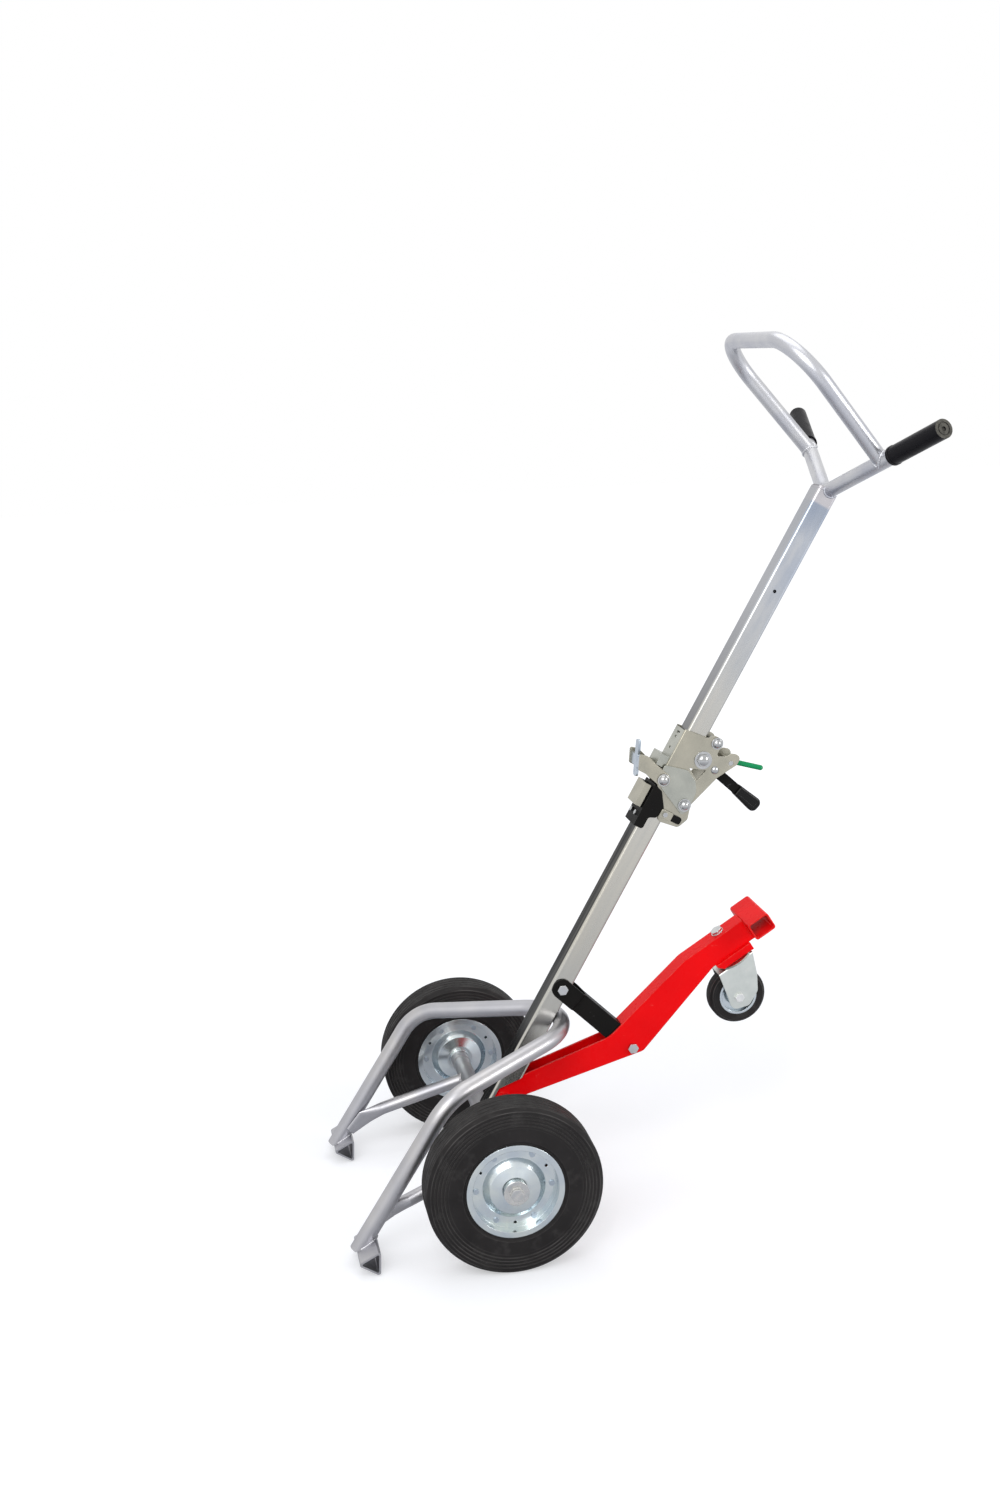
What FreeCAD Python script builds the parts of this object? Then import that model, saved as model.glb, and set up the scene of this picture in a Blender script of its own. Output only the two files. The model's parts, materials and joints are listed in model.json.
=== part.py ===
import FreeCAD, Part
import math
import os

# Drum trolley, in millimetres.
# Every piece is drawn in the mast's own frame: X across the trolley (left is +X), Y towards the back
# and Z up along the mast, with the origin on the mast's axis at the height of the wheel axle.
# At the end the whole trolley leans back until its toes and wheels stand on the floor.

# Clearances and cuts
overrun = 2.0
lay_gap = 0.1
shaft_fit = 0.05
bolt_fit = 0.3
turn_gap = 0.5
slide_gap = 0.4

# Mast
mast_width = 40.0
mast_depth = 36.0
mast_wall = 2.5
mast_corner = 5.0
mitre_front_height = 56.0
mitre_back_height = 91.0
mast_tongue = 7.0
stop_hole_height = 1006.0
stop_hole_radius = 3.0

# Handlebar, push loop and grips
handle_height = 1185.0
handle_back = 3.0
handle_tube_radius = 12.5
handle_tube_wall = 2.0
handle_rise_deg = 23.5
handle_bend_radius = 45.0
handle_reach = 292.0
loop_foot_reach = 152.0
loop_top_reach = 174.0
loop_forward = 228.0
loop_rise = 86.0
loop_corner_radius = 78.0
grip_radius = 15.0
grip_length = 128.0
grip_end_wall = 6.0
grip_collar_radius = 15.8
grip_collar_length = 5.0
grip_ring_radius = 10.5
grip_ring_width = 2.0
grip_ring_depth = 1.2
grip_eye_radius = 3.5
grip_eye_depth = 3.0

# Axle
axle_forward = 9.0
axle_radius = 10.0
axle_tube_radius = 15.0
axle_tube_half = 212.0
axle_collar_radius = 16.0
axle_washer_radius = 20.0
axle_washer_thick = 3.0
axle_bolt_flats = 19.0
axle_bolt_head = 7.5

# Road wheels
wheel_track_half = 260.0
wheel_radius = 140.0
tyre_width = 60.0
tyre_bead_width = 52.0
tyre_bead_rise = 9.0
tyre_shoulder_drop = 7.0
tyre_shoulder_width = 8.0
tread_groove_depth = 3.0
tread_groove_shares = (0.75, 0.25)
tread_groove_width = 4.0
wall_groove_count = 4
wall_groove_depth = 1.2
wall_groove_width = 2.2
wall_groove_pitch = 5.5
rim_seat_radius = 71.0
rim_lip_radius = 77.5
rim_sheet = 2.5
rim_ring_depth = 12.0
rim_dome_radius = 50.0
rim_dome_flat_radius = 23.0
rim_dome_mid_share = 0.62
rim_dome_mid_height_share = 0.72
rim_dome_height = 14.0
rim_bolt_circle = 60.0
rim_bolt_count = 6
rim_bolt_radius = 3.0
rim_bolt_head_radius = 4.5
rim_bolt_head_height = 2.0
rim_hole_radius = 2.5
hub_radius = 18.5
hub_half_length = 31.0

# Base hoop and toes
hoop_radius = 14.0
hoop_wall = 2.5
hoop_half = 190.0
hoop_foot_forward = 157.0
hoop_foot_depth = 224.0
hoop_knee_forward = 142.0
hoop_knee_height = 61.0
hoop_knee_radius = 80.0
hoop_top_height = 205.0
hoop_turn_radius = 95.0
toe_side = 43.0
toe_wall = 3.0
toe_corner = 4.0
toe_tilt_deg = 33.0
toe_tip_forward = 164.0
toe_tip_depth = 225.0
toe_outer_reach = 242.0
toe_length = 88.0

# Braces, each with a flattened end on the inner side of its leg
brace_radius = 11.0
brace_wall = 2.0
brace_axle_reach = 150.0
brace_bend_depth = 122.0
brace_bend_behind = 36.0
brace_flat_start_depth = 150.0
brace_flat_start_behind = 16.0
brace_flat_half_width = 14.0
brace_flat_half_thick = 2.6
brace_flat_end_depth = 184.0
brace_flat_end_behind = 6.0
brace_flat_end_half = 8.0

# Support arm
arm_half_width = 17.0
arm_sheet = 3.0
arm_foot_low_back = -5.5
arm_foot_low_height = 20.5
arm_foot_front_height = 27.0
arm_foot_top_height = 60.0
arm_inner_back = 122.0
arm_inner_height = 214.0
arm_inner_radius = 60.0
arm_elbow_back = 189.0
arm_elbow_height = 217.0
arm_elbow_radius = 14.0
arm_knee_back = 228.0
arm_knee_height = 400.0
arm_bend_radius = 30.0
arm_end_deg = 28.5
arm_end_depth = 40.0
arm_end_length = 124.0
arm_top_bend_before = 36.0
arm_corner = 4.0
arm_open_top_share = 1.12
arm_open_low_share = 0.3
arm_pivot_back = 8.0
arm_pivot_height = 45.0
lug_sheet = 3.0
lug_eye_radius = 12.0
lug_axle_radius = 21.0
base_plate_half_width = 23.0
base_plate_thick = 4.0
base_plate_start = 5.0
base_plate_length = 70.0
base_skirt = 9.0
base_skirt_sheet = 3.0
base_skirt_chamfer = 9.0

# Foot step on the end of the arm
step_length = 98.0
step_width = 40.0
step_depth = 32.0
step_wall = 2.5
step_corner = 5.0
step_proud = 1.0

# Stay between mast and arm
stay_mast_height = 258.0
stay_mast_back = 3.0
stay_arm_back = 169.0
stay_arm_height = 214.0
stay_sheet = 3.0
stay_half_depth = 17.0
stay_ear_length = 36.0
stay_joggle_length = 9.0
stay_eye_radius = 8.8
stay_taper = 20.0
stay_web_end_before = 34.0

# Bolts of the arm
arm_bolt_radius = 5.0
arm_bolt_flats = 16.0
arm_bolt_head = 6.0
castor_bolt_radius = 6.0
castor_bolt_flats = 19.0
castor_bolt_head = 4.5
washer_thick = 2.0
washer_rim = 5.0

# Castor
castor_along = 40.0
castor_trail = 32.0
castor_drop = 113.0
castor_radius = 50.0
castor_tyre_width = 30.0
castor_tyre_depth = 17.0
castor_hub_web = 10.0
castor_hub_lip = 4.0
castor_hub_radius = 13.0
castor_head_gap = 2.0
castor_head_lift = 0.5
castor_ring_radius = 32.0
castor_ring_height = 3.5
castor_fork_sheet = 3.0
castor_fork_gap = 3.0
castor_fork_corner = 6.0
castor_fork_top_ahead = 30.0
castor_fork_top_behind = 40.0
castor_fork_side_ahead = 48.0
castor_fork_side_rise = 17.0
castor_fork_low_ahead = 33.0
castor_fork_low_drop = 10.0
castor_fork_bottom_ahead = 7.0
castor_fork_bottom_drop = 24.0
castor_fork_heel_behind = 22.0
castor_fork_heel_drop = 13.0
castor_fork_waist_behind = 15.0
castor_fork_waist_rise = 19.0
castor_fork_round = 12.0
castor_axle_radius = 5.0
castor_axle_flats = 14.0
castor_axle_head = 5.0
castor_hub_end_gap = 0.6

# Rim clamp: where it stands on the mast, and its plates.
# Rises are taken from the hook pivots, places behind from the mast's back face, and places ahead
# from its front face.
clamp_height = 650.0
plate_thick = 3.0
plate_side_gap = 1.5
plate_fold_radius = 2.5
cheek_thick = 3.0
plate_top_rise = 90.0
plate_back_top_rise = 94.0
plate_front_low_drop = 10.0
plate_waist_ahead = -8.0
plate_waist_drop = 24.0
lobe_reach = 10.0
fork_root_behind = 27.5
fork_root_rise = 73.0
fork_neck_behind = 44.0
fork_neck_rise = 80.0
fork_tip_start_behind = 50.0
fork_tip_start_rise = 89.0
fork_tip_behind = 67.5
fork_tip_top_rise = 94.0
fork_tip_low_rise = 76.0
plate_heel_behind = 47.5
plate_heel_rise = 42.0
plate_hollow_behind = 29.0
plate_hollow_drop = 18.0
plate_bulge_behind = 36.5
plate_bulge_drop = 42.0
plate_foot_behind = 28.0
plate_foot_drop = 61.0
plate_toe_behind = -8.0
plate_toe_drop = 66.0
plate_round = 8.0
cheek_front_ahead = 9.0
cheek_front_rise = 23.0
cheek_top_behind = -6.0
cheek_top_rise = 32.0
cheek_shoulder_behind = 15.0
cheek_shoulder_rise = 22.0
cheek_back_behind = 26.0
cheek_back_rise = 6.0
cheek_foot_behind = 28.5
cheek_foot_drop = 29.0
cheek_low_behind = 22.0
cheek_low_drop = 39.0
cheek_waist_ahead = -6.5
cheek_waist_drop = 15.0
cheek_chin_drop = 4.0
cheek_round = 9.0
wedge_front_behind = -4.0
wedge_front_rise = 36.0
wedge_back_behind = 24.0
wedge_back_rise = 45.0
wedge_low_behind = 18.0
wedge_low_rise = 23.0

# Rim clamp: strap and glides
strap_thick = 3.0
strap_length = 51.0
strap_slot_width = 14.0
strap_slot_height = 4.0
strap_slot_shares = (0.28, 0.68, 0.84)
glide_thick = 2.6
glide_length = 40.0
rear_glide_thick = 8.0
rear_glide_length = 28.0
stop_block_height = 20.0
stop_block_depth = 16.0

# Rim clamp: bolts, each with its place and the size of its head
top_bolt_behind = 18.5
top_bolt_rise = 93.0
top_dome_radius = 8.0
big_bolt_behind = 10.5
big_bolt_rise = 58.0
big_nut_flats = 19.0
big_washer_radius = 15.0
low_bolt_behind = 18.0
low_bolt_drop = 22.5
low_nut_flats = 15.0
low_washer_radius = 11.0
through_bolt_radius = 4.0
spacer_radius = 6.0
dome_height = 5.5
cap_nut_height = 4.0
cap_nut_dome_height = 3.0
cap_nut_dome_share = 0.45
screw_flats = 8.0
screw_head = 4.0
pin_head_height = 4.0

# Rim clamp: pad, bracket, buffer and its clips
bracket_sheet = 2.5
bracket_proud = 2.0
bracket_top_drop = 13.0
bracket_shoulder_ahead = -8.0
bracket_shoulder_drop = 18.0
bracket_wing_ahead = -26.0
bracket_wing_drop = 43.0
bracket_wing_length = 19.0
bracket_tail_ahead = -9.0
bracket_tail_drop = 67.0
bracket_length = 76.0
bracket_round = 5.0
pad_half_width = 19.0
pad_depth = 11.0
pad_height = 40.0
pad_top_drop = 18.0
pad_plate_thick = 3.0
pad_plate_lip = 8.0
pad_screw_drop = 12.0
pad_screw_reach = 12.0
buffer_behind = 4.0
buffer_depth = 23.0
buffer_drop = 44.5
buffer_height = 12.0
buffer_round = 4.0
clip_thick = 2.0
clip_depth = 22.0
clip_height = 14.0
clip_lap = 5.0

# Rim hook
hook_pivot_ahead = 0.8
hook_eye_radius = 12.0
hook_pivot_radius = 5.0
hook_dome_radius = 8.5
hook_sheet = 4.0
hook_back_reach = 25.0
hook_back_rise = 18.0
hook_crest_reach = 43.0
hook_crest_rise = 24.0
hook_nose_reach = 57.0
hook_nose_rise = 20.0
hook_chin_reach = 46.0
hook_chin_drop = 4.0
hook_throat_reach = 33.0
hook_throat_drop = 4.0
hook_round = 6.0
blade_thick = 4.0
blade_half = 9.0
blade_top_reach = 58.4
blade_top_rise = 40.4
blade_low_reach = 33.5
blade_low_drop = 16.0
blade_corner = 6.0
blade_band_start_share = 0.43
blade_band_end_share = 0.72

# Clamp lever
lever_pivot_behind = 37.5
lever_pivot_rise = 52.0
lever_pin_radius = 4.5
lever_pin_dome_radius = 7.0
lever_half_thick = 4.0
lever_root_radius = 11.0
lever_half_depth = 8.5
lever_fall_deg = 13.2
lever_length = 84.0
lever_grip_start = 62.0
lever_grip_length = 49.0
lever_grip_neck_half = 9.5
lever_grip_end_half = 13.0
lever_grip_half_thick = 9.0
lever_grip_round = 4.0
lever_grip_tip_share = 0.75
lever_panel_margin = 8.0
lever_panel_half = 4.0
lever_panel_depth = 1.0

# Release lever
release_pivot_behind = 57.0
release_pivot_rise = 74.0
release_pin_radius = 4.0
release_half_thick = 3.0
release_eye_radius = 7.5
release_dog_rise = 7.0
release_dog_half = 4.0
release_rise_deg = 13.5
release_length = 30.0
release_half_depth = 3.0
release_grip_start = 18.5
release_grip_length = 43.5
release_grip_radius = 4.5


def vec(x, y, z):
    return FreeCAD.Vector(x, y, z)


def block(x0, x1, y0, y1, z0, z1):
    return Part.makeBox(x1 - x0, y1 - y0, z1 - z0, vec(x0, y0, z0))


def rod(start, end, radius):
    along = end.sub(start)
    return Part.makeCylinder(radius, along.Length, start, along)


def cross_rod(x0, x1, back, height, radius):
    return rod(vec(x0, back, height), vec(x1, back, height), radius)


def sleeve(start, end, outer, inner):
    way = end.sub(start).normalize()
    bore = rod(start.sub(way * overrun), end.add(way * overrun), inner)
    return rod(start, end, outer).cut(bore)


def cross_sleeve(x0, x1, back, height, outer, inner):
    return sleeve(vec(x0, back, height), vec(x1, back, height), outer, inner)


def mirrored(shape):
    return shape.mirror(vec(0, 0, 0), vec(1, 0, 0))


def both_sides(shape):
    return [shape, mirrored(shape)]


def group(shapes):
    return Part.makeCompound(shapes)


def corner_points(before, corner, after, radius):
    # Start, middle and end of the arc that rounds a corner.
    back = before.sub(corner).normalize()
    ahead = after.sub(corner).normalize()
    half = back.getAngle(ahead) / 2
    reach = radius / math.tan(half)
    middle = back.add(ahead).normalize() * (radius / math.sin(half) - radius)
    return corner.add(back * reach), corner.add(middle), corner.add(ahead * reach)


def rounded_wire(points, radii, closed):
    # Straight runs joined by tangent arcs; a radius of zero leaves a sharp corner.
    count = len(points)
    edges = []
    ends = []
    for index, point in enumerate(points):
        inner = closed or 0 < index < count - 1
        if inner and radii[index] > 0:
            arc = corner_points(points[index - 1], point, points[(index + 1) % count], radii[index])
            ends.append((arc[0], arc[2], arc))
        else:
            ends.append((point, point, None))
    for index, (start, end, arc) in enumerate(ends):
        if arc:
            edges.append(Part.Arc(*arc).toShape())
        if index < count - 1 or closed:
            following = ends[(index + 1) % count][0]
            if end.distanceToPoint(following) > lay_gap / overrun / count:
                edges.append(Part.LineSegment(end, following).toShape())
    return Part.Wire(edges)


def plate(outline, radii, x0, x1):
    # A flat plate whose outline is given as back and height of each corner.
    points = [vec(x0, back, height) for back, height in outline]
    face = Part.Face(rounded_wire(points, radii, True))
    return face.extrude(vec(x1 - x0, 0, 0))


def bar_across(centre, across, along, width, depth, corner, wall):
    # A rectangular tube that lies along X, with its sides along two given directions.
    def loop(half_width, half_depth, radius, reach):
        signs = ((-1, -1), (1, -1), (1, 1), (-1, 1))
        points = []
        for side, end in signs:
            place = centre.add(across * (side * half_width)).add(along * (end * half_depth))
            points.append(place.add(vec(-reach, 0, 0)))
        face = Part.Face(rounded_wire(points, [radius] * len(points), True))
        return face.extrude(vec(2 * reach, 0, 0))

    outer = loop(width / 2, depth / 2, corner, step_length / 2)
    inner = loop(width / 2 - wall, depth / 2 - wall, corner - wall / 2, step_length / 2 + overrun)
    return outer.cut(inner)


def pipe(points, radii, radius):
    path = rounded_wire(points, radii, False)
    start = points[0]
    circle = Part.Circle(start, points[1].sub(start), radius).toShape()
    return path.makePipeShell([Part.Wire([circle])], True, False)


def bent_tube(points, radii, outer, wall):
    return pipe(points, radii, outer).cut(pipe(points, radii, outer - wall))


def side_vectors(axis):
    # Two directions square to an axis that lies across X or in the YZ plane.
    way = vec(axis.x, axis.y, axis.z).normalize()
    first = vec(0, 0, 1) if abs(way.x) > abs(way.y) + abs(way.z) else vec(1, 0, 0)
    first = first.sub(way * way.dot(first)).normalize()
    return way, first, way.cross(first)


def hex_head(base, axis, flats, height):
    way, first, second = side_vectors(axis)
    reach = flats / 2 / math.cos(math.radians(30))
    points = []
    for index in range(6):
        turn = math.radians(60 * index)
        points.append(base.add(first * (reach * math.cos(turn))).add(second * (reach * math.sin(turn))))
    points.append(points[0])
    return Part.Face(Part.makePolygon(points)).extrude(way * height)


def washer(base, axis, outer, inner, thick):
    way = vec(axis.x, axis.y, axis.z).normalize()
    return sleeve(base, base.add(way * thick), outer, inner)


def dome(base, axis, radius, height):
    ball = (radius * radius + height * height) / (2 * height)
    low = math.degrees(math.asin((ball - height) / ball))
    way = vec(axis.x, axis.y, axis.z).normalize()
    return Part.makeSphere(ball, base.sub(way * (ball - height)), way, low, 90, 360)


def cross_bolt(half_grip, back, height, radius, flats, head):
    # A hexagon bolt with its nut, through a pair of plates.
    left = vec(half_grip, back, height)
    right = vec(-half_grip, back, height)
    shank = rod(right, left, radius)
    return shank.fuse(hex_head(left, vec(1, 0, 0), flats, head)).fuse(
        hex_head(right, vec(-1, 0, 0), flats, head)).removeSplitter()


def turned(profile, back, height):
    # A body of revolution about a cross axis, from (across, radius) corners.
    points = [vec(across, back, height + radius) for across, radius in profile]
    points.append(points[0])
    face = Part.Face(Part.makePolygon(points))
    return face.revolve(vec(0, back, height), vec(1, 0, 0), 360)


# Places that several pieces share
mast_front = -mast_depth / 2
mast_back = mast_depth / 2
axle_back = -axle_forward
plate_inner = mast_width / 2 + plate_side_gap
cheek_inner = plate_inner + plate_thick
cheek_outer = cheek_inner + cheek_thick
plate_front = mast_depth / 2 + slide_gap + glide_thick + strap_thick
bracket_front = plate_front + bracket_proud
arm_inner_half = arm_half_width - arm_sheet
arm_end_turn = math.radians(arm_end_deg)
arm_along = vec(0, math.sin(arm_end_turn), math.cos(arm_end_turn))
arm_down = vec(0, math.cos(arm_end_turn), -math.sin(arm_end_turn))
arm_knee = vec(0, arm_knee_back, arm_knee_height)
arm_elbow = vec(0, arm_elbow_back, arm_elbow_height)


def arm_point(along, depth):
    # A place on the arm's end part: along it from the knee, and down from its top face.
    return arm_knee.add(arm_along * along).add(arm_down * (depth - arm_end_depth))


castor_top = arm_point(castor_along, 0)
castor_axle_place = castor_top.add(arm_down * castor_drop).sub(arm_along * castor_trail)


def arm_front():
    # The arm's foot stands clear of the rounded inside corners of the mast.
    return mast_front + mast_corner


def back_height(place):
    return place.y, place.z


# Handle

def handlebar_path():
    rise = math.tan(math.radians(handle_rise_deg))
    middle = vec(0, handle_back, handle_height)
    end = vec(handle_reach, handle_back, handle_height + handle_reach * rise)
    return [end, middle, vec(-end.x, end.y, end.z)]


def handlebar_direction():
    turn = math.radians(handle_rise_deg)
    return vec(math.cos(turn), 0, math.sin(turn))


def handlebar_at(reach):
    rise = math.tan(math.radians(handle_rise_deg))
    return vec(reach, handle_back, handle_height + reach * rise)


def handlebar():
    radii = [0, handle_bend_radius, 0]
    return bent_tube(handlebar_path(), radii, handle_tube_radius, handle_tube_wall)


def push_loop():
    foot = handlebar_at(loop_foot_reach)
    top = vec(loop_top_reach, foot.y - loop_forward, foot.z + loop_rise)
    points = [foot, top, vec(-top.x, top.y, top.z), vec(-foot.x, foot.y, foot.z)]
    radii = [0, loop_corner_radius, loop_corner_radius, 0]
    loop = bent_tube(points, radii, handle_tube_radius, handle_tube_wall)
    bar = pipe(handlebar_path(), [0, handle_bend_radius, 0], handle_tube_radius + lay_gap)
    return loop.cut(bar)


def grip_left():
    way = handlebar_direction()
    end = handlebar_at(handle_reach)
    start = end.sub(way * (grip_length - grip_end_wall))
    tip = end.add(way * grip_end_wall)
    body = rod(start, tip, grip_radius)
    body = body.fuse(rod(start, start.add(way * grip_collar_length), grip_collar_radius))
    # A ring and an eye are sunk in the end.
    floor = tip.sub(way * grip_ring_depth)
    ring = sleeve(floor, tip.add(way * overrun), grip_ring_radius, grip_ring_radius - grip_ring_width)
    eye = rod(tip.sub(way * grip_eye_depth), tip.add(way * overrun), grip_eye_radius)
    bore = rod(start.sub(way * overrun), end, handle_tube_radius + lay_gap)
    return body.cut(bore).cut(ring).cut(eye)


# Frame

def rounded_prism(width, depth, corner, z0, z1):
    points = [vec(width / 2, depth / 2, z0), vec(-width / 2, depth / 2, z0),
              vec(-width / 2, -depth / 2, z0), vec(width / 2, -depth / 2, z0)]
    face = Part.Face(rounded_wire(points, [corner] * len(points), True))
    return face.extrude(vec(0, 0, z1 - z0))


def mast_tube():
    outer = rounded_prism(mast_width, mast_depth, mast_corner, 0, handle_height)
    inner = rounded_prism(mast_width - 2 * mast_wall, mast_depth - 2 * mast_wall,
                          mast_corner - mast_wall, -overrun, handle_height + overrun)
    slope = (mitre_back_height - mitre_front_height) / (mast_depth - mast_tongue)
    tongue_back = mast_front + mast_tongue
    notch = [(tongue_back, -overrun), (mast_back + overrun, -overrun),
             (mast_back + overrun, mitre_back_height + slope * overrun), (tongue_back, mitre_front_height)]
    side = mast_width / 2 + overrun
    tube = outer.cut(inner).cut(plate(notch, [0] * len(notch), -side, side))
    tube = tube.cut(cross_rod(-side, side, axle_back, 0, axle_tube_radius + lay_gap))
    # The back wall is slotted where the arm comes out.
    climb = (arm_inner_height - arm_foot_top_height) / (arm_inner_back - arm_front())
    exit_height = arm_foot_top_height + climb * (mast_back - arm_front()) + overrun
    exit_half = arm_half_width + slide_gap
    tube = tube.cut(block(-exit_half, exit_half, 0, mast_back + overrun, 0, exit_height))
    tube = tube.cut(cross_rod(-side, side, stay_mast_back, stay_mast_height, arm_bolt_radius + bolt_fit))
    tube = tube.cut(cross_rod(-side, side, 0, stop_hole_height, stop_hole_radius))
    return tube.cut(pipe(handlebar_path(), [0, handle_bend_radius, 0], handle_tube_radius + lay_gap))


def hoop_path():
    foot = vec(hoop_half, -hoop_foot_forward, -hoop_foot_depth)
    knee = vec(hoop_half, -hoop_knee_forward, hoop_knee_height)
    # The turn bows forward beside the mast, so its middle stands back by the height of that bow.
    half = mast_width / 2 - mast_corner
    bow = hoop_turn_radius - math.sqrt(hoop_turn_radius * hoop_turn_radius - half * half)
    apex = vec(0, mast_back + lay_gap + hoop_radius + bow, hoop_top_height)
    rise = apex.sub(vec(0, knee.y, knee.z))
    # Where the two straight runs would meet, for a turn that just reaches the apex.
    ratio = hoop_turn_radius / hoop_half
    excess = hoop_turn_radius - rise.Length
    spread = 1 - ratio * ratio
    root = math.sqrt(excess * excess - spread * (excess * excess - hoop_turn_radius * hoop_turn_radius))
    run = (root - excess) / spread
    meeting = vec(0, knee.y, knee.z).add(rise.normalize() * run)
    return [foot, knee, meeting, vec(-knee.x, knee.y, knee.z), vec(-foot.x, foot.y, foot.z)]


def toe_corners(side):
    # The toe's section as an equal-sided triangle about its own middle.
    tilt = math.radians(toe_tilt_deg)
    lean = math.radians(toe_tilt_deg + 60)
    tip = vec(0, -toe_tip_forward, -toe_tip_depth)
    top = tip.add(vec(0, math.sin(tilt), math.cos(tilt)) * toe_side)
    heel = tip.add(vec(0, math.sin(lean), math.cos(lean)) * toe_side)
    middle = tip.add(top).add(heel) * (1 / 3)
    return [middle.add(place.sub(middle) * (side / toe_side)) for place in (tip, top, heel)]


def base_hoop():
    radii = [0, hoop_knee_radius, hoop_turn_radius, hoop_knee_radius, 0]
    hoop = bent_tube(hoop_path(), radii, hoop_radius, hoop_wall)
    tip, top, heel = toe_corners(toe_side)
    # The legs end on the sloping front faces of the toes.
    run = top.sub(tip)
    low = [tip.sub(run), top.add(run), heel.add(run), heel.sub(run)]
    outline = [back_height(place) for place in low]
    side = toe_outer_reach + overrun
    return hoop.cut(plate(outline, [0] * len(outline), -side, side))


def toe_left():
    inradius = toe_side / (2 * math.sqrt(3))
    inner_side = toe_side * (inradius - toe_wall) / inradius
    start = toe_outer_reach - toe_length
    outer = [back_height(place) for place in toe_corners(toe_side)]
    inner = [back_height(place) for place in toe_corners(inner_side)]
    body = plate(outer, [toe_corner] * len(outer), start, toe_outer_reach)
    hollow = plate(inner, [toe_corner / 2] * len(inner), start - overrun, toe_outer_reach + overrun)
    return body.cut(hollow)


def leg_back_at(depth):
    # How far back the leg's axis lies at a depth below the axle.
    share = (hoop_foot_depth - depth) / (hoop_foot_depth + hoop_knee_height)
    return -hoop_foot_forward + share * (hoop_foot_forward - hoop_knee_forward)


def ring(centre, axis, radius):
    way, first, second = side_vectors(axis)
    circle = Part.Circle(centre, way, radius)
    circle.XAxis = second
    return Part.Wire([circle.toShape()])


def oval(centre, axis, half_width, half_thick):
    # A flattened round section, thin across the trolley.
    way, first, second = side_vectors(axis)
    tip = centre.add(second * half_width)
    flat = centre.add(first * half_thick)
    return Part.Wire([Part.Ellipse(tip, flat, centre).toShape()])


def brace_left():
    axle_end = vec(brace_axle_reach, axle_back, 0)
    across = hoop_half - hoop_radius - lay_gap - brace_flat_half_thick

    def beside_leg(behind_leg, depth):
        return vec(across, leg_back_at(depth) + behind_leg, -depth)

    bend = beside_leg(brace_bend_behind, brace_bend_depth)
    flat = beside_leg(brace_flat_start_behind, brace_flat_start_depth)
    end = beside_leg(brace_flat_end_behind, brace_flat_end_depth)
    run = bend.sub(axle_end)
    leg = end.sub(flat)
    tube = rod(axle_end, bend, brace_radius)
    blend = Part.makeLoft([ring(bend, run, brace_radius),
                           oval(flat, leg, brace_flat_half_width, brace_flat_half_thick),
                           oval(end, leg, brace_flat_end_half, brace_flat_half_thick)], True, True)
    bore = rod(axle_end, bend, brace_radius - brace_wall)
    axle = cross_rod(0, axle_tube_half, axle_back, 0, axle_tube_radius + lay_gap)
    return tube.cut(bore).fuse(blend).cut(axle)


# Axle and wheels

def axle_tube():
    return cross_sleeve(-axle_tube_half, axle_tube_half, axle_back, 0, axle_tube_radius,
                        axle_radius + lay_gap)


def hub_end():
    return wheel_track_half + hub_half_length


def wheel_axle():
    reach = hub_end() + turn_gap
    return cross_rod(-reach, reach, axle_back, 0, axle_radius)


def axle_collars():
    inner_end = wheel_track_half - hub_half_length - turn_gap
    collar = cross_sleeve(axle_tube_half, inner_end, axle_back, 0, axle_collar_radius,
                          axle_radius + lay_gap)
    return group(both_sides(collar))


def axle_bolts():
    # The end bolts with their large washers.
    start = hub_end() + turn_gap
    disc = cross_rod(start, start + axle_washer_thick, axle_back, 0, axle_washer_radius)
    base = vec(start + axle_washer_thick, axle_back, 0)
    return group(both_sides(disc.fuse(hex_head(base, vec(1, 0, 0), axle_bolt_flats, axle_bolt_head))))


def groove_corners(place, width, depth, level):
    half = width / 2
    return [(place - half, level), (place, level - depth), (place + half, level)]


def tyre_left():
    half = tyre_width / 2
    bead = tyre_bead_width / 2
    bead_top = rim_seat_radius + tyre_bead_rise
    tread_half = half - tyre_shoulder_width
    shoulder = wheel_radius - tyre_shoulder_drop
    right_side = [(bead, rim_seat_radius), (bead, bead_top), (half, bead_top + half - bead)]
    for index in reversed(range(wall_groove_count)):
        place = shoulder - wall_groove_pitch * (index + 1)
        for radius, across in groove_corners(place, wall_groove_width, wall_groove_depth, half):
            right_side.append((across, radius))
    right_side += [(half, shoulder), (tread_half, wheel_radius)]
    for share in tread_groove_shares:
        place = tread_half * share
        right_side += reversed(groove_corners(place, tread_groove_width, tread_groove_depth, wheel_radius))
    left_side = [(-across, radius) for across, radius in reversed(right_side)]
    profile = [(wheel_track_half + across, radius) for across, radius in right_side + left_side]
    return turned(profile, axle_back, 0)


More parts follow.
